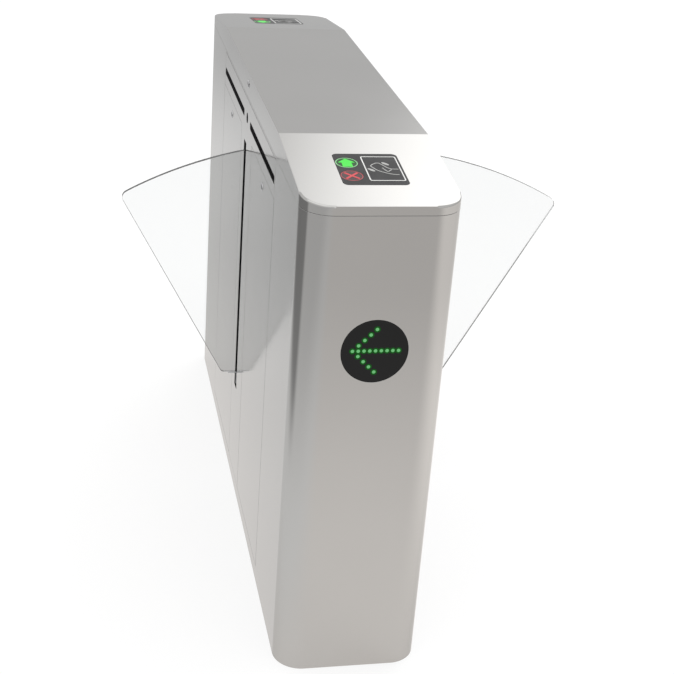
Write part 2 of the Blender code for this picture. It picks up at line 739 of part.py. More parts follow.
def make_lid_hinge():
    """A continuous hinge on the right side: one leaf on the fascia, the other on the lid's skirt."""
    axis_x = HALF_WIDTH + HINGE_AXIS_OUT
    leaf_low_x = HALF_WIDTH + GAP
    leaf_high_x = leaf_low_x + HINGE_LEAF_THICKNESS
    relief = HINGE_KNUCKLE_RADIUS + HINGE_KNUCKLE_GAP
    half = HINGE_LENGTH / 2
    pitch = HINGE_LENGTH / HINGE_KNUCKLES
    leaves = {}
    for name, way in (("lid_hinge_fixed_leaf", -1), ("lid_hinge_moving_leaf", 1)):
        zs = sorted((LID_SEAM_Z + way * relief, LID_SEAM_Z + way * (relief + HINGE_LEAF_WIDTH)))
        mesh = box_mesh(name, (leaf_low_x, -half, zs[0]), (leaf_high_x, half, zs[1]))
        leaves[way] = piece(name, mesh, "stainless_sheet")
    for index in range(HINGE_KNUCKLES):
        way = 1 if index % 2 else -1
        low = -half + index * pitch + HINGE_KNUCKLE_GAP / 2
        high = low + pitch - HINGE_KNUCKLE_GAP
        start, end = (axis_x, low, LID_SEAM_Z), (axis_x, high, LID_SEAM_Z)
        knuckle = rod_mesh("knuckle", HINGE_KNUCKLE_RADIUS, start, end)
        zs = sorted((LID_SEAM_Z, LID_SEAM_Z + way * (relief + BITE)))
        tab = box_mesh("tab", (leaf_low_x, low, zs[0]), (leaf_high_x, high, zs[1]))
        join(leaves[way], cutter(knuckle), cutter(tab))
    start, end = (axis_x, -half, LID_SEAM_Z), (axis_x, half, LID_SEAM_Z)
    bore = rod_mesh("pin_bore", HINGE_PIN_RADIUS + GAP, start, end, SMALL_ROUND_STEPS // 2)
    cut(leaves[1], cutter(bore))
    inner = half - BITE
    start, end = (axis_x, -inner, LID_SEAM_Z), (axis_x, inner, LID_SEAM_Z)
    join(leaves[-1], cutter(rod_mesh("pin", HINGE_PIN_RADIUS, start, end, SMALL_ROUND_STEPS // 2)))


def make_reader(word, end, frame):
    """A flush glass panel with its two lenses, and the module that hangs under it."""
    icons = [
        (word + "_pass_lens", (ICON_X, -end * ICON_HALF_SPACING), "pass_green"),
        (word + "_stop_lens", (ICON_X, end * ICON_HALF_SPACING), "stop_red"),
    ]
    place = at(z=-SHEET / 2)
    holes = [circle(centre, ICON_RADIUS + GAP) for _, centre, _ in icons]
    name = word + "_reader_panel"
    mesh = outline_mesh(name, [reader_outline(0.0), *holes], SHEET)
    piece(name, mesh, "reader_glass", place, frame)
    for name, centre, finish in icons:
        mesh = outline_mesh(name, [circle(centre, ICON_RADIUS)], SHEET)
        piece(name, mesh, finish, place, frame)
    name = word + "_reader_module"
    flange_z = -SHEET - GAP - MODULE_FLANGE_THICKNESS
    mesh = outline_mesh(name, [reader_outline(MODULE_FLANGE_BORDER)], MODULE_FLANGE_THICKNESS)
    place = at(z=flange_z + MODULE_FLANGE_THICKNESS / 2)
    module = piece(name, mesh, "black_housing", place, frame)
    body = box_mesh(
        name + "_body",
        (-MODULE_WIDTH / 2, -MODULE_LENGTH / 2, flange_z - MODULE_DEPTH),
        (MODULE_WIDTH / 2, MODULE_LENGTH / 2, flange_z + BITE),
    )
    join(module, cutter(body, FLAT, frame))


def make_indicator(word, end):
    """The round dark window of one end, flush with the sheet, and its housing behind."""
    frame = helper(word + "_end", at(0.0, end * HALF_LENGTH, INDICATOR_Z) @ end_turn(end))
    name = word + "_indicator_window"
    mesh = outline_mesh(name, [circle((0.0, 0.0), INDICATOR_RADIUS, DISC_STEPS)], SHEET)
    piece(name, mesh, "dark_window", at(z=-SHEET / 2), frame)
    top = -SHEET - GAP
    flange = top - INDICATOR_FLANGE_THICKNESS
    profile = [
        (0.0, top),
        (INDICATOR_FLANGE_RADIUS, top),
        (INDICATOR_FLANGE_RADIUS, flange),
        (INDICATOR_HOUSING_RADIUS, flange),
        (INDICATOR_HOUSING_RADIUS, flange - INDICATOR_HOUSING_DEPTH),
        (0.0, flange - INDICATOR_HOUSING_DEPTH),
    ]
    turned(word + "_indicator_housing", profile, "black_housing", FLAT, frame, DISC_STEPS)


def end_turn(end):
    """The turn that points +Z out of an end of the cabinet, with +Y up."""
    return FACING_END if end < 0 else Matrix.Rotation(math.pi, 4, "Z") @ FACING_END


# Wings, each built in a frame where it slides towards +X


def leaf_outline():
    """The outer leaf seen from the front, with X from its tip: an arched top and a sloping edge."""
    back, tip = -LEAF_WIDTH + STILE_WIDTH + GAP, LEAF_TIP_OVERSHOOT
    top, low = Vector((-LEAF_WIDTH, LEAF_TOP_Z)), Vector((tip, LEAF_TIP_Z))
    chord = low - top
    rise = math.sqrt(LEAF_TOP_RADIUS**2 - (chord.length / 2) ** 2)
    centre = (top + low) / 2 - Vector((-chord.y, chord.x)).normalized() * rise
    corners = []
    for step in range(ARC_STEPS + 1):
        x = tip + (back - tip) * step / ARC_STEPS
        corners.append((x, centre.y + math.sqrt(LEAF_TOP_RADIUS**2 - (x - centre.x) ** 2)))
    corners += [(back, LEAF_BOTTOM_Z), (-LEAF_WIDTH + LEAF_FOOT_WIDTH, LEAF_BOTTOM_Z)]
    radii = [LEAF_TIP_RADIUS] + [0.0] * (len(corners) - 2) + [LEAF_FOOT_RADIUS]
    return rounded(corners, radii, 2 * SMALL_CORNER_STEPS)


def make_outer_leaf(side, frame):
    """The outer leaf and the carrier that holds its back edge and runs on the belt."""
    name = side + "_outer_leaf"
    place = at(y=OUTER_LEAF_Y) @ FACING_END
    piece(name, outline_mesh(name, [leaf_outline()], LEAF_THICKNESS), "clear_acrylic", place, frame)
    name = side + "_leaf_carrier"
    low_y, high_y = OUTER_LEAF_Y - LEAF_THICKNESS / 2, OUTER_LEAF_Y + LEAF_THICKNESS / 2
    bottom = BEAM_TOP_Z + GAP
    stile = box_mesh(name, (-LEAF_WIDTH, low_y, bottom), (STILE_WIDTH - LEAF_WIDTH, high_y, STILE_TOP_Z))
    carrier = piece(name, stile, "bare_aluminium", FLAT, frame)
    shelf = box_mesh(
        name + "_shelf",
        (-LEAF_WIDTH + BITE, low_y + BITE, bottom + GAP),
        (SHELF_LENGTH - LEAF_WIDTH, high_y - BITE, LEAF_BOTTOM_Z - GAP),
    )
    shoe_x = SHOE_INSET - LEAF_WIDTH
    shoe = box_mesh(
        name + "_shoe",
        (shoe_x, GROOVE_LOW_Y + GAP, SHOE_BOTTOM_Z),
        (shoe_x + SHOE_LENGTH, GROOVE_HIGH_Y - GAP, bottom + GAP + BITE),
    )
    join(carrier, cutter(shelf, FLAT, frame), cutter(shoe, FLAT, frame))


def make_inner_leaf(side, frame):
    name = side + "_inner_leaf"
    corners = rectangle(
        (INNER_LEAF_BACK_X, BEAM_TOP_Z + GAP), (INNER_LEAF_FRONT_X, INNER_LEAF_TOP_Z)
    )
    radii = (0.0, INNER_LEAF_RADIUS, INNER_LEAF_RADIUS, 0.0)
    mesh = outline_mesh(name, [rounded(corners, radii)], INNER_LEAF_THICKNESS)
    piece(name, mesh, "clear_acrylic", at(y=INNER_LEAF_Y) @ FACING_END, frame)


def rack_spaces():
    """The outline of all spaces between the rack's teeth, with a shared strip under the beam."""
    tip = RACK_TIP_WIDTH_SHARE * GEAR_MODULE / 2
    root = RACK_ROOT_WIDTH_SHARE * GEAR_MODULE / 2
    low = RACK_PITCH_Z - GEAR_MODULE
    high = RACK_PITCH_Z + TOOTH_DEDENDUM_SHARE * GEAR_MODULE
    first = math.ceil((BEAM_BACK_X + RACK_PITCH - PINION_X) / RACK_PITCH)
    last = math.floor((BEAM_FRONT_X - RACK_PITCH - PINION_X) / RACK_PITCH)
    points = []
    for tooth in range(first, last):
        here = PINION_X + tooth * RACK_PITCH
        after = here + RACK_PITCH
        points += [(here + tip, low), (here + root, high), (after - root, high), (after - tip, low)]
    below = BEAM_BOTTOM_Z - GEAR_MODULE
    return [(points[0][0], below), *points, (points[-1][0], below)]


def make_beam(side, frame):
    """The beam: rack teeth in its underside and a groove for the belt and the shoe in its top."""
    name = side + "_beam"
    low_y, high_y = WING_Y - BEAM_WIDTH / 2, WING_Y + BEAM_WIDTH / 2
    mesh = box_mesh(name, (BEAM_BACK_X, low_y, BEAM_BOTTOM_Z), (BEAM_FRONT_X, high_y, BEAM_TOP_Z))
    beam = piece(name, mesh, "bare_aluminium", FLAT, frame)
    groove = box_mesh(
        name + "_groove",
        (BEAM_BACK_X + BEAM_END_WALL, GROOVE_LOW_Y, BEAM_GROOVE_Z),
        (BEAM_FRONT_X - BEAM_END_WALL, GROOVE_HIGH_Y, BEAM_TOP_Z + OVERRUN),
    )
    width = PINION_WIDTH + 2 * RACK_SIDE_CLEARANCE
    spaces = outline_mesh(name + "_spaces", [rack_spaces()], width)
    cut(beam, cutter(groove, FLAT, frame), cutter(spaces, at(y=WING_Y) @ FACING_END, frame))
    for x in (DRIVE_PULLEY_X, IDLE_PULLEY_X):
        start = (x, low_y - OVERRUN, PULLEY_Z)
        end = (x, GROOVE_HIGH_Y + AXLE_REACH + GAP, PULLEY_Z)
        cut(beam, cutter(rod_mesh(name + "_bore", AXLE_RADIUS + GAP, start, end), FLAT, frame))


def make_belt(side, frame):
    name = side + "_belt"
    loops = []
    for radius in (BELT_OUTER_RADIUS, BELT_INNER_RADIUS):
        right = arc((IDLE_PULLEY_X, PULLEY_Z), radius, -math.pi / 2, math.pi / 2, CORNER_STEPS)
        left = arc((DRIVE_PULLEY_X, PULLEY_Z), radius, math.pi / 2, 1.5 * math.pi, CORNER_STEPS)
        loops.append(right + left)
    place = at(y=PULLEY_Y) @ FACING_END
    piece(name, outline_mesh(name, loops, BELT_WIDTH), "black_rubber", place, frame)
    half = PULLEY_WIDTH / 2
    inner = GROOVE_HIGH_Y + AXLE_REACH - PULLEY_Y
    outer = PULLEY_Y - (WING_Y - BEAM_WIDTH / 2)
    for word, x in (("drive", DRIVE_PULLEY_X), ("idle", IDLE_PULLEY_X)):
        profile = [
            (0.0, outer),
            (AXLE_RADIUS, outer),
            (AXLE_RADIUS, half),
            (PULLEY_RADIUS, half),
            (PULLEY_RADIUS, -half),
            (AXLE_RADIUS, -half),
            (AXLE_RADIUS, -inner),
            (0.0, -inner),
        ]
        place = at(x, PULLEY_Y, PULLEY_Z) @ FACING_END
        turned(side + "_" + word + "_pulley", profile, "machined_steel", place, frame)


def make_pinion(side, frame):
    """The pinion stands with a tooth space straight up, on its shaft, which reaches the motor."""
    name = side + "_pinion"
    tip_radius = PINION_RADIUS + GEAR_MODULE - GAP
    root_radius = PINION_RADIUS - TOOTH_DEDENDUM_SHARE * GEAR_MODULE
    tip = PINION_TIP_WIDTH_SHARE * GEAR_MODULE / 2
    root = PINION_ROOT_WIDTH_SHARE * GEAR_MODULE / 2
    flanks = ((root_radius, -root), (tip_radius, -tip), (tip_radius, tip), (root_radius, root))
    points = []
    for tooth in range(PINION_TEETH):
        angle = math.pi / 2 + (tooth + 0.5) * math.tau / PINION_TEETH
        for radius, half in flanks:
            turn = angle + math.asin(half / radius)
            points.append((radius * math.cos(turn), radius * math.sin(turn)))
    place = at(PINION_X, WING_Y, PINION_Z) @ FACING_END
    pinion = piece(name, outline_mesh(name, [points], PINION_WIDTH), "machined_steel", place, frame)
    start = (PINION_X, WING_Y, PINION_Z)
    end = (PINION_X, -FRAME_PLATE_HALF_WIDTH, PINION_Z)
    join(pinion, cutter(rod_mesh(name + "_shaft", PINION_SHAFT_RADIUS, start, end), FLAT, frame))


def make_gear_motor(side, frame):
    profile = [
        (0.0, 0.0),
        (GEAR_MOTOR_RADIUS, 0.0),
        (GEAR_MOTOR_RADIUS, -GEAR_MOTOR_LENGTH),
        (GEAR_MOTOR_CAN_RADIUS, -GEAR_MOTOR_LENGTH),
        (GEAR_MOTOR_CAN_RADIUS, -GEAR_MOTOR_LENGTH - GEAR_MOTOR_CAN_LENGTH),
        (0.0, -GEAR_MOTOR_LENGTH - GEAR_MOTOR_CAN_LENGTH),
    ]
    place = at(PINION_X, -FRAME_PLATE_HALF_WIDTH - GAP, PINION_Z) @ FACING_END.inverted()
    turned(side + "_gear_motor", profile, "machined_steel", place, frame)


def make_belt_motor(side, frame):
    nose = BELT_MOTOR_NOSE_LENGTH
    profile = [
        (0.0, 0.0),
        (BELT_MOTOR_NOSE_RADIUS, 0.0),
        (BELT_MOTOR_NOSE_RADIUS, -nose),
        (BELT_MOTOR_RADIUS, -nose),
        (BELT_MOTOR_RADIUS, -nose - BELT_MOTOR_LENGTH),
        (0.0, -nose - BELT_MOTOR_LENGTH),
    ]
    face_y = WING_Y - BEAM_WIDTH / 2 - GAP
    place = at(DRIVE_PULLEY_X, face_y, PULLEY_Z) @ FACING_END.inverted()
    turned(side + "_belt_motor", profile, "black_housing", place, frame)


def make_wing(side, turn, beam_out, leaf_out):
    """One wing, its beam and leaf moved out from the cabinet by the two given travels."""
    fixed = helper(side + "_wing", Matrix.Rotation(turn, 4, "Z"))
    beam = helper(side + "_beam_slide", at(x=beam_out), fixed)
    leaf = helper(side + "_leaf_slide", at(x=RETRACTED_TIP_X + leaf_out), beam)
    make_outer_leaf(side, leaf)
    make_inner_leaf(side, beam)
    make_beam(side, beam)
    make_belt(side, beam)
    make_belt_motor(side, beam)
    make_pinion(side, fixed)
    make_gear_motor(side, fixed)


def make_drive_frame():
    """The frame inside the cabinet: two legs, a plate and a guide block with a channel for each beam."""
    block = box_mesh(
        "drive_frame",
        (-GUIDE_HALF_LENGTH, -GUIDE_HALF_WIDTH, GUIDE_FLOOR_Z - BITE),
        (GUIDE_HALF_LENGTH, GUIDE_HALF_WIDTH, GUIDE_CHEEK_Z),
    )
    frame = piece("drive_frame", block, "zinc_steel")
    plate_bottom = GUIDE_FLOOR_Z - FRAME_PLATE_THICKNESS
    plate = box_mesh(
        "frame_plate",
        (-FRAME_PLATE_HALF_LENGTH, -FRAME_PLATE_HALF_WIDTH, plate_bottom),
        (FRAME_PLATE_HALF_LENGTH, FRAME_PLATE_HALF_WIDTH, GUIDE_FLOOR_Z),
    )
    join(frame, cutter(plate))
    for sign in (-1, 1):
        xs = sorted((sign * FRAME_LEG_X, sign * (FRAME_LEG_X + FRAME_LEG_THICKNESS)))
        leg = box_mesh(
            "frame_leg",
            (xs[0], -FRAME_LEG_HALF_WIDTH, BASE_THICKNESS + GAP),
            (xs[1], FRAME_LEG_HALF_WIDTH, plate_bottom + BITE),
        )
        join(frame, cutter(leg))
    half = BEAM_WIDTH / 2 + GAP
    low_z = plate_bottom - OVERRUN
    for turn in (0.0, math.pi):
        side = helper("frame_cuts", Matrix.Rotation(turn, 4, "Z"))
        channel = box_mesh(
            "channel",
            (-GUIDE_HALF_LENGTH - OVERRUN, WING_Y - half, BEAM_BOTTOM_Z - GAP),
            (GUIDE_HALF_LENGTH + OVERRUN, WING_Y + half, GUIDE_CHEEK_Z + OVERRUN),
        )
        window = box_mesh(
            "pinion_window",
            (PINION_X - PINION_WINDOW_HALF_LENGTH, WING_Y - PINION_WINDOW_HALF_WIDTH, low_z),
            (PINION_X + PINION_WINDOW_HALF_LENGTH, WING_Y + PINION_WINDOW_HALF_WIDTH, GUIDE_CHEEK_Z),
        )
        notch = box_mesh(
            "shaft_notch",
            (PINION_X - SHAFT_NOTCH_HALF_LENGTH, -FRAME_PLATE_HALF_WIDTH - OVERRUN, low_z),
            (PINION_X + SHAFT_NOTCH_HALF_LENGTH, WING_Y, PINION_Z + PINION_SHAFT_RADIUS + BITE),
        )
        cut(frame, cutter(channel, FLAT, side), cutter(window, FLAT, side), cutter(notch, FLAT, side))


def main():
    clear_scene()
    make_collections()
    make_colours()
    make_shell()
    make_base_plate()
    make_boxes()
    for side, side_sign in (("right", 1), ("left", -1)):
        turn = 0.0 if side_sign > 0 else math.pi
        frame = helper(side + "_side", Matrix.Rotation(turn, 4, "Z"))
        make_fascia(side, frame)
        make_windows(side, side_sign, frame)
        make_slot_trim(side, frame)
        for end in (-1, 1):
            make_door(side, side_sign, end, frame)
    ends = (("front", -1), ("rear", 1))
    slopes = [slope_frame(word + "_slope", end) for word, end in ends]
    make_lid(slopes)
    make_lid_hinge()
    for (word, end), slope in zip(ends, slopes):
        make_reader(word, end, slope)
        make_indicator(word, end)
    make_drive_frame()
    make_wing("right", 0.0, BEAM_TRAVEL, LEAF_TRAVEL)
    make_wing("left", math.pi, 0.0, LEAF_TRAVEL)


main()
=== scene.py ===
import math

import bmesh
import bpy
from bpy.props import FloatProperty, FloatVectorProperty, IntProperty, PointerProperty
from mathutils import Matrix, Vector


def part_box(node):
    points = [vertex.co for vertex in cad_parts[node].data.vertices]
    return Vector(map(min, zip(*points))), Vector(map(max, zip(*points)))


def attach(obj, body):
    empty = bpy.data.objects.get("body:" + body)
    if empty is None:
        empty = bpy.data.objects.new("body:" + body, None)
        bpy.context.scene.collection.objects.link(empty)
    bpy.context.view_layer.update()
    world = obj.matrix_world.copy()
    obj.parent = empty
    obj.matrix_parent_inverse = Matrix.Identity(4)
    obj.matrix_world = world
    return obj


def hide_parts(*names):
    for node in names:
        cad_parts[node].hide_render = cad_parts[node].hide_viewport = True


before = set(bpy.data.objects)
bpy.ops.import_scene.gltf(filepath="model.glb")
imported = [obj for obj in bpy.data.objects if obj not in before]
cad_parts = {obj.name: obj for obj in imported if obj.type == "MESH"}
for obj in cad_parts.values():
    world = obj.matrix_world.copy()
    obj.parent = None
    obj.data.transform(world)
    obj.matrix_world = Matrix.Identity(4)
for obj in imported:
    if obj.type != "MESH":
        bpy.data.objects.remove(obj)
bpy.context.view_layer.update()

bl_info = {
    "name": "Sliding barrier turnstile",
    "version": (1, 0, 0),
    "blender": (4, 5, 0),
    "location": "3D View > Sidebar > Turnstile",
    "description": "Dresses the packed turnstile in satin steel, clear leaves and lit signs",
    "category": "Object",
}

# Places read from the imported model
SHELL_LOW, SHELL_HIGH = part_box("cabinet_shell")
LID_LOW, LID_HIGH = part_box("lid")
FASCIA_LOW, FASCIA_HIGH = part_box("right_fascia")
DOOR_LOW, DOOR_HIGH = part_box("right_rear_door")
HALF_WIDTH, HALF_LENGTH = SHELL_HIGH.x, SHELL_HIGH.y

# The sides, each with its turn from the right one, and the ends, each with its way along Y
SIDES = (("right", 0.0), ("left", math.pi))
ENDS = (("front", -1), ("rear", 1))

# Sizes that the fine pieces share with the solids, in metres
SHEET = 0.002
GAP = 0.0003
PAN_DEPTH = 0.010
STEM_HALF_WIDTH = 0.080
SLIT_FROM, SLIT_TO = 0.046, 0.388
SLIT_Z, SLIT_HEIGHT, SLIT_END_RADIUS = 0.883, 0.0155, 0.004
EYE_Z, EYE_RADIUS = 0.885, 0.011
WINDOW_THICKNESS = 0.003
SLOPE_RUN, SLOPE_DROP = 0.293, 0.033
SLOPE_ANGLE = math.atan2(SLOPE_DROP, SLOPE_RUN)
DOOR_LOCK_Y = 0.245
LOCK_RADIUS, LOCK_PROUD, LOCK_BARREL_RADIUS = 0.0085, 0.0015, 0.007
INDICATOR_Z, INDICATOR_RADIUS = 0.680, 0.060
READER_FROM_END, READER_SIZE, READER_RADIUS = 0.143, (0.117, 0.126), 0.010
ICON_X, ICON_SPACING, ICON_RADIUS = -0.0375, 0.026, 0.020
SLOT_Y, SLOT_WIDTH, SLOT_Z = -0.016, 0.028, (0.245, 0.828)
TRIM_WALL = 0.0015

# Radii that the making leaves on edges, in metres
CUT_EDGE = 0.0003
STRIP_EDGE = 0.0002
MOULDED_EDGE = 0.0004
TRIM_EDGE = 0.0005
CASE_EDGE = 0.0006
POLISHED_EDGE = 0.0008

# Colours, as sRGB
STEEL = "#B0AFAD"
STEEL_SHADE = "#ACABA9"
STEEL_GRAZED = "#E1E1E1"
# Painted shade for the shadow in the seams at the doors' folds
PAINTED_FOLD_SHADE = "#2E2E2D"
ACRYLIC = "#F4F5F5"
LAMP_LIT = "#6EBE78"
FLOOR_WHITE = "#FFFFFF"
# The warm tone is seen only in mirrors, as part of the floor's painted reflection
FLOOR_WARM = "#FFFAF6"


def linear(code):
    """An sRGB hex colour as the linear values that the shaders take."""
    channels = []
    for start in (1, 3, 5):
        value = int(code[start : start + 2], 16) / 255
        channels.append(value / 12.92 if value <= 0.04045 else ((value + 0.055) / 1.055) ** 2.4)
    return (*channels, 1.0)


# Settings that a user may change

LENGTH = {"subtype": "DISTANCE", "unit": "LENGTH"}
COLOUR = {"size": 3, "min": 0.0, "max": 1.0, "subtype": "COLOR"}


class TurnstileSheet(bpy.types.PropertyGroup):
    """Sizes of the folded sheet."""

    corner_radius: FloatProperty(
        name="Corner radius",
        description="Outer radius of the cabinet's four upright folds",
        default=0.055, min=0.020, max=0.090, **LENGTH,
    )
    corner_steps: IntProperty(
        name="Corner steps",
        description="Facets round each upright fold",
        default=28, min=8, max=64,
    )
    lid_edge: FloatProperty(
        name="Lid edge",
        description="Radius of the pressed rim round the lid",
        default=0.004, min=0.001, max=0.010, **LENGTH,
    )
    bend_radius: FloatProperty(
        name="Bend radius",
        description="Radius of the bend between the lid's flat and its slopes",
        default=0.012, min=0.002, max=0.040, **LENGTH,
    )
    broken_edge: FloatProperty(
        name="Broken edge",
        description="Radius left on the sheet's cut edges after deburring",
        default=0.0006, min=0.0001, max=0.0009, **LENGTH,
    )
    door_fold: FloatProperty(
        name="Door fold",
        description="Radius of the folds round the four service doors",
        default=0.0010, min=0.0002, max=0.0014, **LENGTH,
    )


class TurnstileSigns(bpy.types.PropertyGroup):
    """Sizes of the lit signs."""

    led_pitch: FloatProperty(
        name="Lamp pitch",
        description="Distance between the arrow's lamps",
        default=0.01026, min=0.006, max=0.013, **LENGTH,
    )
    led_radius: FloatProperty(
        name="Lamp radius",
        description="Radius of one lit lamp",
        default=0.0033, min=0.001, max=0.005, **LENGTH,
    )
    halo_radius: FloatProperty(
        name="Halo radius",
        description="Radius of the dark green glow in the window round each lamp",
        default=0.0058, min=0.001, max=0.007, **LENGTH,
    )


class TurnstileColours(bpy.types.PropertyGroup):
    """Colours of the finishes."""

    steel: FloatVectorProperty(
        name="Steel",
        description="Colour of the satin stainless sheet",
        default=linear(STEEL)[:3], **COLOUR,
    )
    lamp: FloatVectorProperty(
        name="Arrow lamps",
        description="Colour of the lit lamps in the arrow",
        default=linear(LAMP_LIT)[:3], **COLOUR,
    )


# Meshes


def linked(name, data):
    """A new object in the scene."""
    obj = bpy.data.objects.new(name, data)
    bpy.context.scene.collection.objects.link(obj)
    return obj


def evaluated(obj):
    """What an object's modifiers make of it, as a plain mesh. The object is removed."""
    graph = bpy.context.evaluated_depsgraph_get()
    mesh = bpy.data.meshes.new_from_object(obj.evaluated_get(graph))
    bpy.data.objects.remove(obj)
    return mesh


def mesh_from(build):
    """A mesh from a function that fills a bmesh, with its faces turned outwards."""
    shape = bmesh.new()
    build(shape)
    bmesh.ops.recalc_face_normals(shape, faces=shape.faces)
    mesh = bpy.data.meshes.new("shape")
    shape.to_mesh(mesh)
    shape.free()
    return mesh


def baked(mesh, *modifiers):
    """The mesh after a stack of modifiers, each given as its type and its settings."""
    carrier = linked("carrier", mesh)
    for kind, settings in modifiers:
        modifier = carrier.modifiers.new(kind.lower(), kind)
        for name, value in settings.items():
            setattr(modifier, name, value)
    return evaluated(carrier)


def combined(mesh, others, operation):
    """The mesh cut by other meshes or joined to them."""
    tools = [linked("tool", other) for other in others]
    settings = {"operation": operation, "solver": "EXACT"}
    result = baked(mesh, *[("BOOLEAN", {**settings, "object": tool}) for tool in tools])
    for tool in tools:
        bpy.data.objects.remove(tool)
    return result


def cut(mesh, *others):
    return combined(mesh, others, "DIFFERENCE")


def joined(mesh, *others):
    return combined(mesh, others, "UNION")


def laid(meshes):
    """Several meshes as one, side by side."""
    shape = bmesh.new()
    for mesh in meshes:
        shape.from_mesh(mesh)
    result = bpy.data.meshes.new("shape")
    shape.to_mesh(result)
    shape.free()
    return result


def moved(mesh, matrix):
    """A copy in another place. A mirroring matrix turns its faces outwards again."""
    mesh = mesh.copy()
    mesh.transform(matrix)
    if matrix.determinant() < 0:
        mesh.flip_normals()
    return mesh


def box(low, high):
    """A block between two corners."""
    low, high = Vector(low), Vector(high)

    def build(shape):
        bmesh.ops.create_cube(shape, size=1.0)
        bmesh.ops.scale(shape, vec=high - low, verts=shape.verts)
        bmesh.ops.translate(shape, vec=(low + high) / 2, verts=shape.verts)

    return mesh_from(build)


def rod(radius, start, end, steps=64):
    """A round bar between two points."""
    start, end = Vector(start), Vector(end)
    turn = (end - start).to_track_quat("Z", "Y").to_matrix().to_4x4()
    settings = {"radius1": radius, "radius2": radius, "depth": (end - start).length}
    settings["matrix"] = Matrix.Translation((start + end) / 2) @ turn
    return mesh_from(
        lambda shape: bmesh.ops.create_cone(shape, cap_ends=True, segments=steps, **settings)
    )


def turned(profile, matrix=Matrix(), steps=72):
    """A solid turned round Z from (radius, height) points that run from its top to its bottom."""
    round_z = {"cent": (0.0, 0.0, 0.0), "axis": (0.0, 0.0, 1.0), "angle": math.tau}

    def build(shape):
        points = [shape.verts.new((radius, 0.0, height)) for radius, height in profile]
        edges = [shape.edges.new(pair) for pair in zip(points, points[1:])]
        bmesh.ops.spin(shape, geom=points + edges, steps=steps, use_merge=True, **round_z)
        bmesh.ops.remove_doubles(shape, verts=shape.verts, dist=0.000002)
        bmesh.ops.transform(shape, matrix=matrix, verts=shape.verts)

    return mesh_from(build)


def merge_flats(shape, distance, degrees):
    """Weld a shape's doubles and dissolve the edges inside its flat faces."""
    bmesh.ops.remove_doubles(shape, verts=shape.verts, dist=distance)
    angle = math.radians(degrees)
    bmesh.ops.dissolve_limit(shape, angle_limit=angle, verts=shape.verts, edges=shape.edges)


def plate(loops, thickness, matrix=Matrix()):
    """A flat outline with its holes in XY, given a thickness that hangs below the plane."""
    curve = bpy.data.curves.new("outline", "CURVE")
    curve.dimensions = "2D"
    curve.fill_mode = "BOTH"
    curve.extrude = thickness / 2
    for loop in loops:
        spline = curve.splines.new("POLY")
        spline.points.add(len(loop) - 1)
        for point, (x, y) in zip(spline.points, loop):
            point.co = (x, y, 0.0, 1.0)
        spline.use_cyclic_u = True
    filled = evaluated(linked("outline", curve))

    def build(shape):
        shape.from_mesh(filled)
        merge_flats(shape, 0.000001, 0.5)
        place = matrix @ Matrix.Translation((0.0, 0.0, -thickness / 2))
        bmesh.ops.transform(shape, matrix=place, verts=shape.verts)

    return mesh_from(build)


def cad_copy(node):
    """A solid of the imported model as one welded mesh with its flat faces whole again."""

    def build(shape):
        shape.from_mesh(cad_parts[node].data)
        merge_flats(shape, 0.00002, 0.7)

    mesh = mesh_from(build)
    mesh.materials.clear()
    return mesh


def bevelled(mesh, width, segments=3, limit=40.0):
    """The mesh with each edge that turns by more than a limit in degrees rounded."""
    settings = {"width": width, "segments": segments, "limit_method": "ANGLE"}
    return baked(mesh, ("BEVEL", {**settings, "angle_limit": math.radians(limit)}))


def shaded(mesh, sharp=36.0):
    """Smooth shading that keeps sharp edges sharp and large flats flat."""
    mesh.shade_smooth()
    mesh.set_sharp_from_angle(angle=math.radians(sharp))
    return baked(mesh, ("WEIGHTED_NORMAL", {"keep_sharp": True, "mode": "FACE_AREA"}))


def softened(mesh, width, segments=3, limit=40.0):
    return shaded(bevelled(mesh, width, segments, limit))


# Outlines


def arc(centre, radius, start, end, steps):
    """Points along a part of a circle."""
    points = []
    for step in range(steps + 1):
        angle = start + (end - start) * step / steps
        points.append((centre[0] + radius * math.cos(angle), centre[1] + radius * math.sin(angle)))
    return points


def circle(centre, radius, steps=64):
    return arc(centre, radius, 0.0, math.tau, steps)[:-1]


def rectangle(low, high):
    return [(low[0], low[1]), (high[0], low[1]), (high[0], high[1]), (low[0], high[1])]


def rounded(points, radii, steps=12):
    """The polygon with each corner rounded by its own radius, or left sharp where that is zero."""
    outline = []
    for index, (corner, radius) in enumerate(zip(points, radii)):
        here = Vector(corner)
        before = (Vector(points[index - 1]) - here).normalized()
        after = (Vector(points[(index + 1) % len(points)]) - here).normalized()
        if not radius:
            outline.append(tuple(here))
            continue
        half = before.angle(after) / 2
        centre = here + (before + after).normalized() * radius / math.sin(half)
        start = here + before * radius / math.tan(half) - centre
        end = here + after * radius / math.tan(half) - centre
        first = math.atan2(start.y, start.x)
        turn = math.remainder(math.atan2(end.y, end.x) - first, math.tau)
        outline += arc(centre, radius, first, first + turn, steps)
    return outline


def rounded_rectangle(low, high, radius, steps=12):
    return rounded(rectangle(low, high), [radius] * 4, steps)


def ribbon(points, width):
    """A closed outline of even width along a line of points."""
    left, right = [], []
    for index, point in enumerate(points):
        here = Vector(point)
        before = Vector(points[max(index - 1, 0)])
        after = Vector(points[min(index + 1, len(points) - 1)])
        along = (after - before).normalized()
        across = Vector((-along.y, along.x)) * width / 2
        left.append(tuple(here + across))
        right.append(tuple(here - across))
    return left + right[::-1]


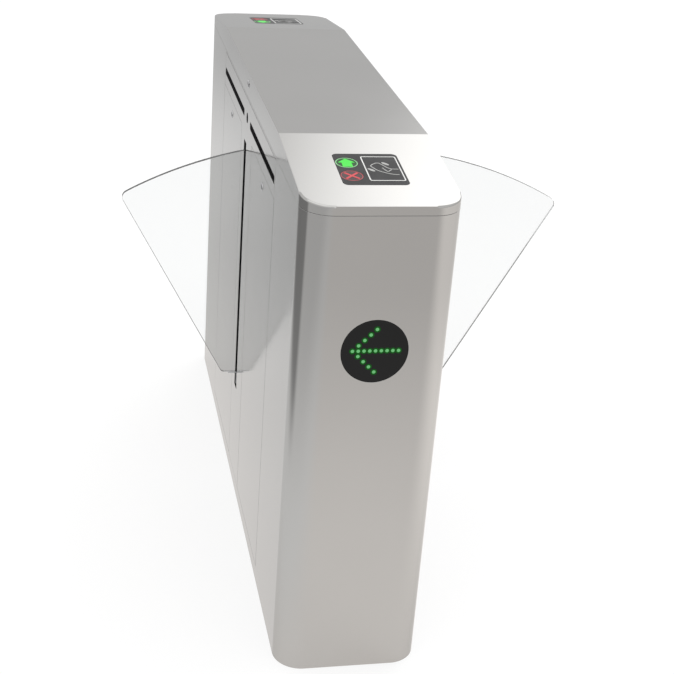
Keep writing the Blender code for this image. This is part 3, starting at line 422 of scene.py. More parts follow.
def smoothed(points, steps=6):
    """Points on a smooth line through the given ones."""
    result = []
    last = len(points) - 1
    for index in range(last):
        p0, p1 = Vector(points[max(index - 1, 0)]), Vector(points[index])
        p2, p3 = Vector(points[index + 1]), Vector(points[min(index + 2, last)])
        for step in range(steps):
            t = step / steps
            bend = (2 * p0 - 5 * p1 + 4 * p2 - p3) * t * t
            swing = (3 * p1 - p0 - 3 * p2 + p3) * t * t * t
            result.append(tuple(0.5 * (2 * p1 + (p2 - p0) * t + bend + swing)))
    return result + [tuple(points[last])]


# Places. An outline is laid in a plane with its thickness going inwards

FACING_SIDE = Matrix(((0, 0, 1, 0), (1, 0, 0, 0), (0, 1, 0, 0), (0, 0, 0, 1)))
FACING_END = Matrix(((1, 0, 0, 0), (0, 0, -1, 0), (0, 1, 0, 0), (0, 0, 0, 1)))


def at(x=0.0, y=0.0, z=0.0):
    return Matrix.Translation((x, y, z))


def about(axis, angle):
    return Matrix.Rotation(angle, 4, axis)


def side_plane(turn, out=0.0):
    """The outer face of a side, or a plane outside it."""
    return about("Z", turn) @ at(x=HALF_WIDTH + out) @ FACING_SIDE


def pair(side, kind):
    """The two nodes of a kind on a side, each after its way along Y in the side's own frame. The
    left side is the right one turned half round, so its rear piece comes first."""
    words = ("front", "rear") if side == "right" else ("rear", "front")
    return [(end, f"{side}_{word}_{kind}") for end, word in zip((-1, 1), words)]


def middle_z(node):
    """The height of a node's middle."""
    low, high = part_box(node)
    return (low.z + high.z) / 2


# Nodes

MATH, MIX, MAP_RANGE = "ShaderNodeMath", "ShaderNodeMix", "ShaderNodeMapRange"
NOISE, PLACES, PARTS = "ShaderNodeTexNoise", "ShaderNodeTexCoord", "ShaderNodeSeparateXYZ"
SMOOTH = {"interpolation_type": "SMOOTHSTEP"}
SPACING = 180


def add_node(tree, kind, inputs=(), out=0, **props):
    """Add one node with its settings and give one of its outputs. Its inputs come by socket or
    in the order of the sockets, each a value or the output to link."""
    node = tree.nodes.new(kind)
    node.location.x = SPACING * len(tree.nodes)
    for name, value in props.items():
        setattr(node, name, value)
    for socket, value in inputs.items() if isinstance(inputs, dict) else enumerate(inputs):
        if isinstance(value, bpy.types.NodeSocket):
            tree.links.new(value, node.inputs[socket])
        else:
            node.inputs[socket].default_value = value
    return node.outputs[out] if node.outputs else node


def repeat_tree():
    """A tree that sets one shape on every point of a mesh, at a size and a turn."""
    tree = bpy.data.node_groups.get("repeat_on_points")
    if tree:
        return tree
    tree = bpy.data.node_groups.new("repeat_on_points", "GeometryNodeTree")
    inputs = (("Points", "Geometry"), ("Shape", "Object"), ("Size", "Vector"), ("Turn", "Vector"))
    for name, kind in (*inputs, ("Finish", "Material")):
        tree.interface.new_socket(name, in_out="INPUT", socket_type="NodeSocket" + kind)
    tree.interface.new_socket("Pieces", in_out="OUTPUT", socket_type="NodeSocketGeometry")
    given = add_node(tree, "NodeGroupInput").node.outputs
    shape = add_node(tree, "GeometryNodeObjectInfo", {"Object": given["Shape"]}, "Geometry")
    turn = add_node(tree, "FunctionNodeEulerToRotation", {"Euler": given["Turn"]})
    where = {"Points": given["Points"], "Rotation": turn, "Scale": given["Size"]}
    spread = add_node(tree, "GeometryNodeInstanceOnPoints", {**where, "Instance": shape})
    real = add_node(tree, "GeometryNodeRealizeInstances", {"Geometry": spread})
    finish = {"Geometry": real, "Material": given["Finish"]}
    add_node(tree, "NodeGroupOutput", [add_node(tree, "GeometryNodeSetMaterial", finish)])
    return tree


def repeated(points, shape, finish, size=(1.0, 1.0, 1.0), turn=(0.0, 0.0, 0.0)):
    """One shape on each point, as a plain mesh."""
    guide = bpy.data.meshes.new("points")
    guide.from_pydata(points, [], [])
    carrier, model = linked("points", guide), linked("repeated_shape", shape)
    modifier = carrier.modifiers.new("repeat", "NODES")
    modifier.node_group = repeat_tree()
    values = {"Shape": model, "Size": size, "Turn": turn, "Finish": MATERIALS[finish]}
    for item in modifier.node_group.interface.items_tree:
        if item.in_out == "INPUT" and item.name in values:
            modifier[item.identifier] = values[item.name]
    mesh = evaluated(carrier)
    bpy.data.objects.remove(model)
    return mesh


# Materials


def surface(name, values):
    """A new material with its Principled shader, whose even values are set on the sockets."""
    material = bpy.data.materials.new(name)
    material.use_nodes = True
    shader = material.node_tree.nodes["Principled BSDF"]
    for socket, value in values.items():
        shader.inputs[socket].default_value = value
    return material, material.node_tree, shader


def texture(tree, kind, scale, values, out=0):
    """A texture on Object coordinates in metres, stretched by a scale for each axis."""
    place = add_node(tree, PLACES, out="Object")
    stretched = add_node(tree, "ShaderNodeMapping", {"Vector": place, "Scale": scale})
    return add_node(tree, kind, {"Vector": stretched, "Scale": 1.0, **values}, out)


def patterned(tree, shader, tint, tones, rough, span, height, relief):
    """Let a shader's colour run between two tones, its roughness over a span and its relief in
    its strength and depth, each after a pattern. A span is the pattern's range, then the
    roughness at both ends."""
    links = {
        "Base Color": (MIX, {0: tint, 6: tones[0], 7: tones[1]}, 2, {"data_type": "RGBA"}),
        "Roughness": (MAP_RANGE, [rough, *span], 0, {}),
        "Normal": ("ShaderNodeBump", {"Height": height, **relief}, 0, {}),
    }
    for socket, (kind, inputs, out, props) in links.items():
        tree.links.new(add_node(tree, kind, inputs, out, **props), shader.inputs[socket])


def satin_stainless(name, grain):
    """Type 304 stainless sheet, belt-ground to a fine satin and then buffed: it mirrors the room
    softly, with a faint streak along the grain and a slow cloudiness from hand polishing.
    The real grain is about 0.1 mm wide and is drawn 2 mm wide so that it can show."""
    steel = (*bpy.context.scene.turnstile_colours.steel, 1.0)
    even = {"Metallic": 1.0, "Specular Tint": linear(STEEL_GRAZED)}
    material, tree, shader = surface(name, even)
    streaks = texture(tree, NOISE, grain, {"Detail": 3.0, "Roughness": 0.55})
    clouds = texture(tree, NOISE, (5.0, 5.0, 5.0), {"Detail": 2.0, "Roughness": 0.5})
    both = add_node(tree, MATH, [streaks, 0.45, clouds], operation="MULTIPLY_ADD")
    tones, span = (linear(STEEL_SHADE), steel), (0.45, 1.0, 0.085, 0.125)
    relief = {"Strength": 0.015, "Distance": 0.0002}
    patterned(tree, shader, clouds, tones, both, span, streaks, relief)
    return material


def stainless_with_painted_fold_shade(name, grain):
    """The same sheet on a folded door, with painted shade on its upright folds, where it turns to
    the object's two ends: the colour darkens there to stand in for the shadow in the seams between
    the doors."""
    material = satin_stainless(name, grain)
    tree = material.node_tree
    base = tree.nodes["Principled BSDF"].inputs["Base Color"]
    # Painted shade: the colour darkens to the fold shade where the face turns towards the ends
    facing = add_node(tree, PARTS, [add_node(tree, PLACES, out="Normal")], "Y")
    lean = add_node(tree, MATH, [facing], operation="ABSOLUTE")
    share = add_node(tree, MAP_RANGE, [lean, 0.15, 0.60], **SMOOTH)
    painted_fold_tones = {0: share, 6: base.links[0].from_socket, 7: linear(PAINTED_FOLD_SHADE)}
    tree.links.new(add_node(tree, MIX, painted_fold_tones, 2, data_type="RGBA"), base)
    return material


def worked_metal(name, base, shade, roughness, grain, patch):
    """A plain worked metal: its colour drifts between two tones over patches of a width, and its
    gloss and relief follow its grain."""
    material, tree, shader = surface(name, {"Metallic": 1.0})
    streaks = texture(tree, NOISE, grain, {"Detail": 4.0, "Roughness": 0.6})
    cells = {"Scale": 1.0 / patch}
    tint = texture(tree, "ShaderNodeTexVoronoi", (1.0, 1.0, 1.0), cells, "Color")
    tones, span = (linear(shade), linear(base)), (0.3, 0.7, roughness - 0.06, roughness + 0.06)
    relief = {"Strength": 0.12, "Distance": 0.0002}
    patterned(tree, shader, tint, tones, streaks, span, streaks, relief)
    return material


def moulded(name, base, shade, roughness, grit, gloss, glow="#FFFFFF", strength=0.0):
    """A moulded, printed or cast plastic: fine eroded texture of a width, and dust in its gloss."""
    even = {"Specular IOR Level": gloss, "Emission Color": linear(glow)}
    material, tree, shader = surface(name, {**even, "Emission Strength": strength})
    fine = texture(tree, NOISE, (1.0 / grit,) * 3, {"Detail": 3.0, "Roughness": 0.6})
    dust = texture(tree, NOISE, (24.0, 24.0, 24.0), {"Detail": 2.0, "Roughness": 0.5})
    tones, span = (linear(shade), linear(base)), (0.3, 0.7, roughness - 0.05, roughness + 0.05)
    relief = {"Strength": 0.10 if roughness > 0.3 else 0.01, "Distance": 0.0001}
    patterned(tree, shader, dust, tones, dust, span, fine, relief)
    return material


def cast_acrylic(name):
    """Clear cast acrylic with flame-polished edges: glassy, all but colourless, with the fine
    wiping marks of daily cleaning in its gloss."""
    even = {"Transmission Weight": 1.0, "IOR": 1.49, "Base Color": linear(ACRYLIC)}
    material, tree, shader = surface(name, even)
    wipes = texture(tree, NOISE, (9.0, 9.0, 60.0), {"Detail": 4.0, "Roughness": 0.6})
    rough = add_node(tree, MAP_RANGE, [wipes, 0.35, 0.75, 0.0, 0.02])
    tree.links.new(rough, shader.inputs["Roughness"])
    return material


# Waves per metre of the satin grain, along X, Y and Z
GRAIN_LEVEL, GRAIN_ALONG = (4.0, 4.0, 450.0), (450.0, 4.0, 450.0)

# Each finish by the name of the real material: its slot, its maker and what the maker takes. A
# worked metal takes its two tones, roughness, grain in waves per metre and patch width. A
# plastic takes its two tones, roughness, texture width and gloss, and where it is lit, the
# colour and strength of its own light. Widths are in metres
FINISHES = {
    # Satin 304 sheet, its grain level round the cabinet, and along the lid; on the doors it carries
    # painted shade on its folds
    "satin_stainless_side": ("stainless_sheet", satin_stainless, GRAIN_LEVEL),
    "satin_stainless_door_painted_fold_shade": ("stainless_sheet", stainless_with_painted_fold_shade, GRAIN_LEVEL),
    "satin_stainless_lid": ("stainless_sheet", satin_stainless, GRAIN_ALONG),
    # Bright zinc plating on pressed steel: bluish, in faint patches
    "zinc_plated_steel": (
        "zinc_steel", worked_metal, "#BCC0C4", "#A9ADB2", 0.38, (160.0, 160.0, 160.0), 0.012,
    ),
    # Extruded aluminium, clear anodised: silky, with the die's lines along it
    "anodised_aluminium": (
        "bare_aluminium", worked_metal, "#D2D4D6", "#C8CACC", 0.34, (6.0, 900.0, 900.0), 0.040,
    ),
    # Milled and hobbed steel, oiled: even and half glossy
    "machined_steel": (
        "machined_steel", worked_metal, "#B4B4B6", "#9C9C9F", 0.27, (500.0, 500.0, 500.0), 0.004,
    ),
    # Nickel and chrome on a die-cast lock: near mirror
    "chrome_plated_zinc": (
        "lock_chrome", worked_metal, "#D5D5D6", "#CBCBCD", 0.12, (300.0, 300.0, 300.0), 0.006,
    ),
    # Infrared-pass acrylic, polished: black to the eye, with a weak gloss
    "smoked_acrylic": ("dark_window", moulded, "#101112", "#0C0D0D", 0.12, 0.004, 0.25),
    # The same acrylic with a matt face against glare, set in the long slits
    "matt_black_acrylic": ("dark_window", moulded, "#0B0B0C", "#08080A", 0.90, 0.004, 0.04),
    # Clear acrylic printed grey on its back: a deep even grey with hardly any gloss
    "grey_backed_acrylic": ("reader_glass", moulded, "#393939", "#353536", 0.40, 0.004, 0.07),
    # ABS with a fine spark-eroded texture: dull black
    "black_abs": ("black_housing", moulded, "#1E1F20", "#18191A", 0.52, 0.0012, 0.35),
    # Extruded EPDM edge trim: dull black
    "epdm_rubber": ("black_rubber", moulded, "#121212", "#181818", 0.80, 0.0020, 0.15),
    # Neoprene belt: black, with a faint sheen
    "neoprene_belt": ("black_rubber", moulded, "#1A1A1A", "#222222", 0.68, 0.0015, 0.3),
    # Screen-printed inks behind the reader's face: even, flat and dull
    "white_ink": ("reader_glass", moulded, "#E6E6E4", "#DCDCDA", 0.5, 0.0015, 0.1),
    "pale_grey_ink": ("reader_glass", moulded, "#B4B4B2", "#ABABA9", 0.5, 0.0015, 0.1),
    # Lenses of tinted polycarbonate, lit from behind: half their colour is their own light
    "lit_green_lens": (
        "pass_green", moulded, "#38A83A", "#349E36", 0.40, 0.003, 0.1, "#50E650", 0.50,
    ),
    "green_ring_ink": (
        "pass_green", moulded, "#7DB07F", "#74A676", 0.40, 0.003, 0.1, "#A8EBAA", 0.40,
    ),
    "dark_green_lens": (
        "pass_green", moulded, "#1C4A22", "#18401E", 0.35, 0.003, 0.1, "#1C4A22", 0.10,
    ),
    "lit_red_lens": (
        "stop_red", moulded, "#A03A3E", "#98363A", 0.40, 0.003, 0.1, "#DC5055", 0.45,
    ),
    "red_ring_ink": (
        "stop_red", moulded, "#8E4448", "#863F43", 0.40, 0.003, 0.1, "#C05A5E", 0.40,
    ),
    "dark_red_lens": (
        "stop_red", moulded, "#4E3A3C", "#463436", 0.35, 0.003, 0.1, "#4E3A3C", 0.10,
    ),
    # Epoxy lamp domes, bright by their own light, and the dim glow that they leave in the
    # window
    "unlit_green_glow": (
        "pass_green", moulded, "#0C4E12", "#0A4610", 0.35, 0.002, 0.1, "#0C4E12", 0.45,
    ),
    "lit_green_lamp": (
        "pass_green", moulded, "#4C8253", "#467A4D", 0.35, 0.002, 0.2, LAMP_LIT, 0.65,
    ),
    # Cast acrylic with polished edges: glassy, all but colourless
    "clear_cast_acrylic": ("clear_acrylic", cast_acrylic),
}

MATERIALS = {}


def make_materials():
    """Make every finish, and give the arrow's lamps the colour that the user set."""
    for name, (_, make, *settings) in FINISHES.items():
        MATERIALS[name] = make(name, *settings)
    lamp = MATERIALS["lit_green_lamp"].node_tree.nodes["Principled BSDF"]
    colour = (*bpy.context.scene.turnstile_colours.lamp, 1.0)
    lamp.inputs["Emission Color"].default_value = colour


def add_piece(name, mesh, finish, body, *nodes):
    """Add a finished piece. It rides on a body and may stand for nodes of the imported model."""
    mesh.name = name
    mesh.materials.clear()
    mesh.materials.append(MATERIALS[finish])
    obj = linked(name, mesh)
    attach(obj, body)
    if nodes:
        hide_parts(*nodes)


# Sheet pieces

SOLIDIFY = ("SOLIDIFY", {"thickness": SHEET, "offset": -1.0, "use_even_offset": True})
LID_BEND_STEPS, LID_RIM_STEPS = 6, 6


def plan(cuts=()):
    """The cabinet's rounded plan as points, with extra points where a long side crosses a Y."""
    settings = bpy.context.scene.turnstile_sheet
    low, high = (-HALF_WIDTH, -HALF_LENGTH), (HALF_WIDTH, HALF_LENGTH)
    outline = rounded_rectangle(low, high, settings.corner_radius, settings.corner_steps)
    result = []
    for index, (x, y) in enumerate(outline):
        after = outline[(index + 1) % len(outline)]
        result.append((x, y))
        if abs(x - after[0]) < 1e-7 and abs(y - after[1]) > HALF_WIDTH:
            result += [(x, between) for between in sorted(cuts, reverse=after[1] < y)]
    return result


class TURNSTILE_OT_cabinet_skin(bpy.types.Operator):
    """Fold the cabinet's skin, one round-cornered tube with an opening in each long side"""

    bl_idname = "turnstile.cabinet_skin"
    bl_label = "Cabinet skin"

    def execute(self, context):
        opening = FASCIA_HIGH.y + GAP * 2
        heights = (SHELL_LOW.z, FASCIA_LOW.z - GAP * 2, FASCIA_HIGH.z + GAP * 2, SHELL_HIGH.z)
        outline = plan((-opening, opening))
        count = len(outline)

        def build(shape):
            rings = [[shape.verts.new((x, y, z)) for x, y in outline] for z in heights]
            for row, (lower, upper) in enumerate(zip(rings, rings[1:])):
                for index in range(count):
                    after = (index + 1) % count
                    ys = (outline[index][1], outline[after][1])
                    open_here = row == 1 and max(map(abs, ys)) < opening + GAP and ys[0] != ys[1]
                    if not open_here:
                        shape.faces.new((lower[index], lower[after], upper[after], upper[index]))

        reach = HALF_LENGTH + PAN_DEPTH
        ends = (0.0, -reach, INDICATOR_Z), (0.0, reach, INDICATOR_Z)
        skin = cut(baked(mesh_from(build), SOLIDIFY), rod(INDICATOR_RADIUS + GAP, *ends, 128))
        skin = softened(skin, context.scene.turnstile_sheet.broken_edge)
        add_piece("cabinet_skin", skin, "satin_stainless_side", "cabinet", "cabinet_shell")
        return {"FINISHED"}


def slit_outline(end, border):
    """A long sensor window, or its hole where a border is given."""
    low = (SLIT_FROM - border, SLIT_Z - SLIT_HEIGHT / 2 - border)
    high = (SLIT_TO + border, SLIT_Z + SLIT_HEIGHT / 2 + border)
    if end < 0:
        low, high = (-high[0], low[1]), (-low[0], high[1])
    return rounded_rectangle(low, high, SLIT_END_RADIUS + border)


def slot_outline(border):
    """The wing slot, or a larger one round it."""
    half = SLOT_WIDTH / 2 + border
    return rectangle((SLOT_Y - half, SLOT_Z[0] - border), (SLOT_Y + half, SLOT_Z[1] + border))


class TURNSTILE_OT_fascias(bpy.types.Operator):
    """Cut the T-shaped fixed sheet of each side, with its slot, slits and eye hole"""

    bl_idname = "turnstile.fascias"
    bl_label = "Fascias"

    def execute(self, context):
        strip_z = DOOR_HIGH.z + GAP * 2
        for side, turn in SIDES:
            outline = rectangle(FASCIA_LOW.yz, FASCIA_HIGH.yz)
            loops = [outline, slot_outline(TRIM_WALL + GAP), circle((0.0, EYE_Z), EYE_RADIUS + GAP)]
            loops += [slit_outline(end, GAP) for end in (-1, 1)]
            sheet = plate(loops, SHEET, side_plane(turn))
            for end in (-1, 1):
                near, far = sorted((end * STEM_HALF_WIDTH, end * HALF_LENGTH))
                low = (HALF_WIDTH - PAN_DEPTH, near, 0.0)
                high = (HALF_WIDTH + PAN_DEPTH, far, strip_z)
                sheet = cut(sheet, moved(box(low, high), about("Z", turn)))
            low = (FASCIA_LOW.x, FASCIA_LOW.y + SHEET, strip_z + GAP)
            high = (HALF_WIDTH - SHEET / 2, FASCIA_HIGH.y - SHEET, strip_z + GAP + SHEET)
            sheet = joined(sheet, moved(box(low, high), about("Z", turn)))
            sheet = softened(sheet, CUT_EDGE, 2)
            node = side + "_fascia"
            add_piece(node + "_sheet", sheet, "satin_stainless_side", "cabinet", node)
        return {"FINISHED"}


class TURNSTILE_OT_doors(bpy.types.Operator):
    """Fold the four service doors, shallow pans whose edges turn in"""

    bl_idname = "turnstile.doors"
    bl_label = "Service doors"

    def execute(self, context):
        fold = context.scene.turnstile_sheet.door_fold
        wall = Vector((SHEET, SHEET, SHEET))
        for side, turn in SIDES:
            for end, node in pair(side, "door"):
                low, high = Vector(DOOR_LOW), Vector(DOOR_HIGH)
                if end < 0:
                    low.y, high.y = -DOOR_HIGH.y, -DOOR_LOW.y
                inside = box((low.x - PAN_DEPTH, low.y + SHEET, low.z + SHEET), high - wall)
                pan = bevelled(cut(box(low, high), inside), fold, 3, 60.0)
                y, z = end * DOOR_LOCK_Y, middle_z(node + "_lock")
                reach = (HALF_WIDTH - SHEET * 2, y, z), (HALF_WIDTH + SHEET, y, z)
                pan = cut(pan, rod(LOCK_RADIUS + GAP, *reach))
                pan = shaded(moved(pan, about("Z", turn)))
                # The doors' finish has painted shade on its folds, for the shadow in the seams
                add_piece(node + "_pan", pan, "satin_stainless_door_painted_fold_shade", node, node)
        return {"FINISHED"}


def slope_frame(end):
    """The middle of a reader, on the slope at an end of the lid."""
    y = end * (HALF_LENGTH - READER_FROM_END)
    z = LID_HIGH.z - SLOPE_DROP + READER_FROM_END * math.tan(SLOPE_ANGLE)
    return at(0.0, y, z) @ about("X", -end * SLOPE_ANGLE)


def reader_outline(border):
    """A reader's face, or its hole where a border is given."""
    half = (READER_SIZE[0] / 2 + border, READER_SIZE[1] / 2 + border)
    return rounded_rectangle((-half[0], -half[1]), half, READER_RADIUS + border, 16)


class TURNSTILE_OT_lid(bpy.types.Operator):
    """Press the lid: a flat middle, two sloped ends, a rounded rim and the reader openings"""

    bl_idname = "turnstile.lid"
    bl_label = "Lid"

    def execute(self, context):
        settings = context.scene.turnstile_sheet
        flat = HALF_LENGTH - SLOPE_RUN
        reach = settings.bend_radius * math.tan(SLOPE_ANGLE / 2)
        steps = LID_BEND_STEPS
        bends = [flat + reach * (2 * step / steps - 1) for step in range(steps + 1)]
        rim_bend = {"offset": settings.lid_edge, "segments": LID_RIM_STEPS, "profile": 0.5}

        def height(y):
            past = abs(y) - flat
            if past >= reach:
                return LID_HIGH.z - past * math.tan(SLOPE_ANGLE)
            if past <= -reach:
                return LID_HIGH.z
            return LID_HIGH.z - (past + reach) ** 2 * math.tan(SLOPE_ANGLE) / (4 * reach)

        def build(shape):
            shape.faces.new([shape.verts.new((x, y, 0.0)) for x, y in plan()])
            for y in [sign * value for value in bends for sign in (-1, 1)]:
                everything = shape.verts[:] + shape.edges[:] + shape.faces[:]
                plane = {"plane_co": (0.0, y, 0.0), "plane_no": (0.0, 1.0, 0.0)}
                bmesh.ops.bisect_plane(shape, geom=everything, **plane)
            for vert in shape.verts:
                vert.co.z = height(vert.co.y)
            shape.normal_update()
            rim = [edge for edge in shape.edges if edge.is_boundary]
            skirt = bmesh.ops.extrude_edge_only(shape, edges=rim)["geom"]
            for vert in (item for item in skirt if isinstance(item, bmesh.types.BMVert)):
                vert.co.z = LID_LOW.z
            bmesh.ops.bevel(shape, geom=rim, affect="EDGES", clamp_overlap=False, **rim_bend)

        z = middle_z("lid_lock")
        lock_hole = (-HALF_WIDTH - SHEET, 0.0, z), (SHEET * 2 - HALF_WIDTH, 0.0, z)
        depth = 4 * PAN_DEPTH
        holes = [
            plate([reader_outline(GAP)], depth, slope_frame(end) @ at(z=depth / 2))
            for _, end in ENDS
        ]
        holes.append(rod(LOCK_RADIUS + GAP, *lock_hole))
        lid = cut(baked(mesh_from(build), SOLIDIFY), *holes)
        lid = softened(lid, settings.broken_edge, 3, 60.0)
        add_piece("pressed_lid", lid, "satin_stainless_lid", "lid", "lid")
        return {"FINISHED"}


# Hinge, locks, windows and trims

HINGE_SCREWS = 8
HINGE_SCREW_INSET, HINGE_SCREW_OUT = 0.0085, 0.0016
HINGE_SCREW = (0.0036, 0.0009)

LOCK_CAM_LENGTH, LOCK_CAM_WIDTH, LOCK_CAM_THICKNESS = 0.038, 0.012, 0.0025
LOCK_CAM_RADIUS, LOCK_CAM_GAP = 0.0035, 0.001
PLUG_FACE = -0.0030
KEY_SLOT = (0.0028, 0.0005, 0.0050)


def screw_head(radius, height):
    """A raised countersunk head with a socket, standing on its point along Z. The shares are of
    its radius and of its height."""
    shares = ((0.0, 0.35), (0.4116, 0.35), (0.42, 0.92), (0.62, 1.0))
    shares += ((0.90, 0.72), (1.0, 0.30), (1.0, -0.3), (0.0, -0.3))
    return turned([(radius * out, height * up) for out, up in shares], steps=16)


class TURNSTILE_OT_lid_hinge(bpy.types.Operator):
    """Finish the lid's continuous hinge and set its screws"""

    bl_idname = "turnstile.lid_hinge"
    bl_label = "Lid hinge"

    def execute(self, context):
        for word, body in (("fixed", "cabinet"), ("moving", "lid")):
            node = f"lid_hinge_{word}_leaf"
            strip = softened(cad_copy(node), STRIP_EDGE, 2)
            add_piece(node + "_strip", strip, "satin_stainless_side", body, node)
            low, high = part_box(node)
            inset = HINGE_SCREW_INSET
            z = low.z + inset if word == "fixed" else high.z - inset
            pitch = (high.y - low.y) / HINGE_SCREWS
            x = low.x + HINGE_SCREW_OUT
            points = [(x, low.y + pitch * (row + 0.5), z) for row in range(HINGE_SCREWS)]
            turn = (0.0, math.pi / 2, 0.0)
            heads = repeated(points, screw_head(*HINGE_SCREW), "machined_steel", turn=turn)
            add_piece(f"lid_hinge_{word}_screws", shaded(heads), "machined_steel", body)
        return {"FINISHED"}


class TURNSTILE_OT_locks(bpy.types.Operator):
    """Turn the five cam locks: a ringed head with a key slot, a barrel and a cam"""

    bl_idname = "turnstile.locks"
    bl_label = "Cam locks"

    def add(self, node, y, turn, way):
        """A lock on the side that a turn leads to, its cam laid along Y one way or the other."""
        place = about("Z", turn) @ at(HALF_WIDTH, y, middle_z(node)) @ about("Y", math.pi / 2)
        ring, proud, barrel = LOCK_RADIUS, LOCK_PROUD, LOCK_BARREL_RADIUS
        cam_high = -PAN_DEPTH - LOCK_CAM_GAP
        cam_low = cam_high - LOCK_CAM_THICKNESS
        head = [
            (0.0, PLUG_FACE), (ring * 0.66, PLUG_FACE), (ring * 0.68, PLUG_FACE + 0.0002),
            (ring * 0.70, proud - 0.0003), (ring * 0.78, proud), (ring * 0.90, proud - 0.0003),
            (ring, proud - 0.0010), (ring, -SHEET), (barrel, -SHEET - 0.0001),
            (barrel, cam_low), (0.0, cam_low),
        ]
        length, width, depth = KEY_SLOT
        key = box((-length, -width, -depth), (length, width, proud))
        half = LOCK_CAM_WIDTH / 2
        cam = rounded_rectangle((-half, -half), (LOCK_CAM_LENGTH, half), LOCK_CAM_RADIUS)
        cam = plate([cam], LOCK_CAM_THICKNESS, about("Z", way * math.pi / 2) @ at(z=cam_high))
        body = softened(joined(cut(turned(head, steps=64), key), cam), 0.00015, 2)
        add_piece(node + "_cylinder", moved(body, place), "chrome_plated_zinc", node, node)
        # The black shutter in the head is a dust shutter; its black also stands in as painted shade
        # for the shadow in the recessed lock face
        face, floor = proud - 0.0004, PLUG_FACE + 0.0001
        disc = [(0.0, face), (ring * 0.66, face), (ring * 0.68, face - 0.0002)]
        disc += [(ring * 0.68, floor), (0.0, floor)]
        shutter_with_painted_shade = softened(cut(turned(disc, steps=48), key), 0.00010, 2)
        add_piece(node + "_shutter", moved(shutter_with_painted_shade, place), "black_abs", node)

    def execute(self, context):
        for side, turn in SIDES:
            for end, node in pair(side, "door_lock"):
                self.add(node, end * DOOR_LOCK_Y, turn, 1)
        self.add("lid_lock", 0.0, math.pi, -1)
        return {"FINISHED"}


class TURNSTILE_OT_sensor_windows(bpy.types.Operator):
    """Set the long dark sensor windows and the round ones between them"""

    bl_idname = "turnstile.sensor_windows"
    bl_label = "Sensor windows"

    def execute(self, context):
        for side, turn in SIDES:
            windows = [(node, slit_outline(end, 0.0)) for end, node in pair(side, "slit_window")]
            windows.append((side + "_eye_window", circle((0.0, EYE_Z), EYE_RADIUS, 72)))
            for node, outline in windows:
                pane = softened(plate([outline], WINDOW_THICKNESS, side_plane(turn)), CUT_EDGE, 2)
                add_piece(node + "_pane", pane, "matt_black_acrylic", "cabinet", node)
        return {"FINISHED"}


class TURNSTILE_OT_slot_trims(bpy.types.Operator):
    """Press the rubber trim into the edge of each wing slot"""

    bl_idname = "turnstile.slot_trims"
    bl_label = "Slot trims"

    def execute(self, context):
        for side, turn in SIDES:
            node = side + "_slot_trim"
            low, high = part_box(node)
            loops = [slot_outline(TRIM_WALL), slot_outline(0.0)]
            trim = softened(plate(loops, high.x - low.x, side_plane(turn, GAP)), TRIM_EDGE)
            add_piece(side + "_slot_edge", trim, "epdm_rubber", "cabinet", node)
        return {"FINISHED"}


# Lit signs

ARROW_SHIFT = (0.0015, 0.0012)
LAMP_DEPTH = -0.00030
DOME = [(0.0, 1.0), (0.45, 0.92), (0.8, 0.62), (0.96, 0.3), (1.0, 0.0), (0.0, -0.4)]
GLAND_RADIUS, GLAND_DROP = 0.006, -0.03


def arrow_points(pitch):
    """Lamps of the arrow in its own plane: a shaft of nine and two arms of four."""
    tip, level = ARROW_SHIFT[0] - 4 * pitch, ARROW_SHIFT[1]
    points = [(tip + pitch * index, level, LAMP_DEPTH) for index in range(9)]
    for way in (-1, 1):
        for index in range(1, 5):
            points.append((tip + pitch * index, level + way * pitch * index, LAMP_DEPTH))
    return points


class TURNSTILE_OT_indicators(bpy.types.Operator):
    """Make the two round arrow signs: dark pane, lamps with their glow, and the housing"""

    bl_idname = "turnstile.indicators"
    bl_label = "Arrow signs"

    def execute(self, context):
        signs = context.scene.turnstile_signs
        radius, behind = INDICATOR_RADIUS, -SHEET - GAP
        pane = [
            (0.0, -0.0003), (radius - 0.0012, -0.0003), (radius - 0.0006, -0.0001),
            (radius - 0.0002, -0.0004), (radius, -0.0008), (radius, -SHEET), (0.0, -SHEET),
        ]
        rows = (
            ("lamps", signs.led_radius, 0.00016, "lit_green_lamp"),
            ("glow", signs.halo_radius, 0.00005, "unlit_green_glow"),
        )
        for word, end in ENDS:
            turn = 0.0 if end < 0 else math.pi
            face = about("Z", turn) @ at(y=-HALF_LENGTH, z=INDICATOR_Z) @ FACING_END
            name, node = word + "_arrow", word + "_indicator"
            window = shaded(turned(pane, face, 128))
            add_piece(name + "_pane", window, "smoked_acrylic", "cabinet", node + "_window")
            for part, size, rise, finish in rows:
                points, dome = arrow_points(signs.led_pitch), turned(DOME, steps=18)
                lamps = moved(repeated(points, dome, finish, (size, size, rise)), face)
                add_piece(f"{name}_{part}", shaded(lamps, 60.0), finish, "cabinet")
            low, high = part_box(node + "_housing")
            flange, back = behind - 0.002, behind - (high.y - low.y)
            housing = [
                (0.0, behind), (0.0655, behind), (0.066, behind - 0.0005), (0.066, flange),
                (0.0535, flange - 0.0002), (0.0520, flange - 0.002), (0.0515, back + 0.002),
                (0.0495, back), (0.0, back),
            ]
            gland = [face @ Vector((0.0, GLAND_DROP, back + out)) for out in (0.004, -0.006)]
            body = joined(turned(housing, face, 96), rod(GLAND_RADIUS, *gland, 24))
            body = softened(body, MOULDED_EDGE, 2)
            add_piece(name + "_housing", body, "black_abs", "cabinet", node + "_housing")
        return {"FINISHED"}


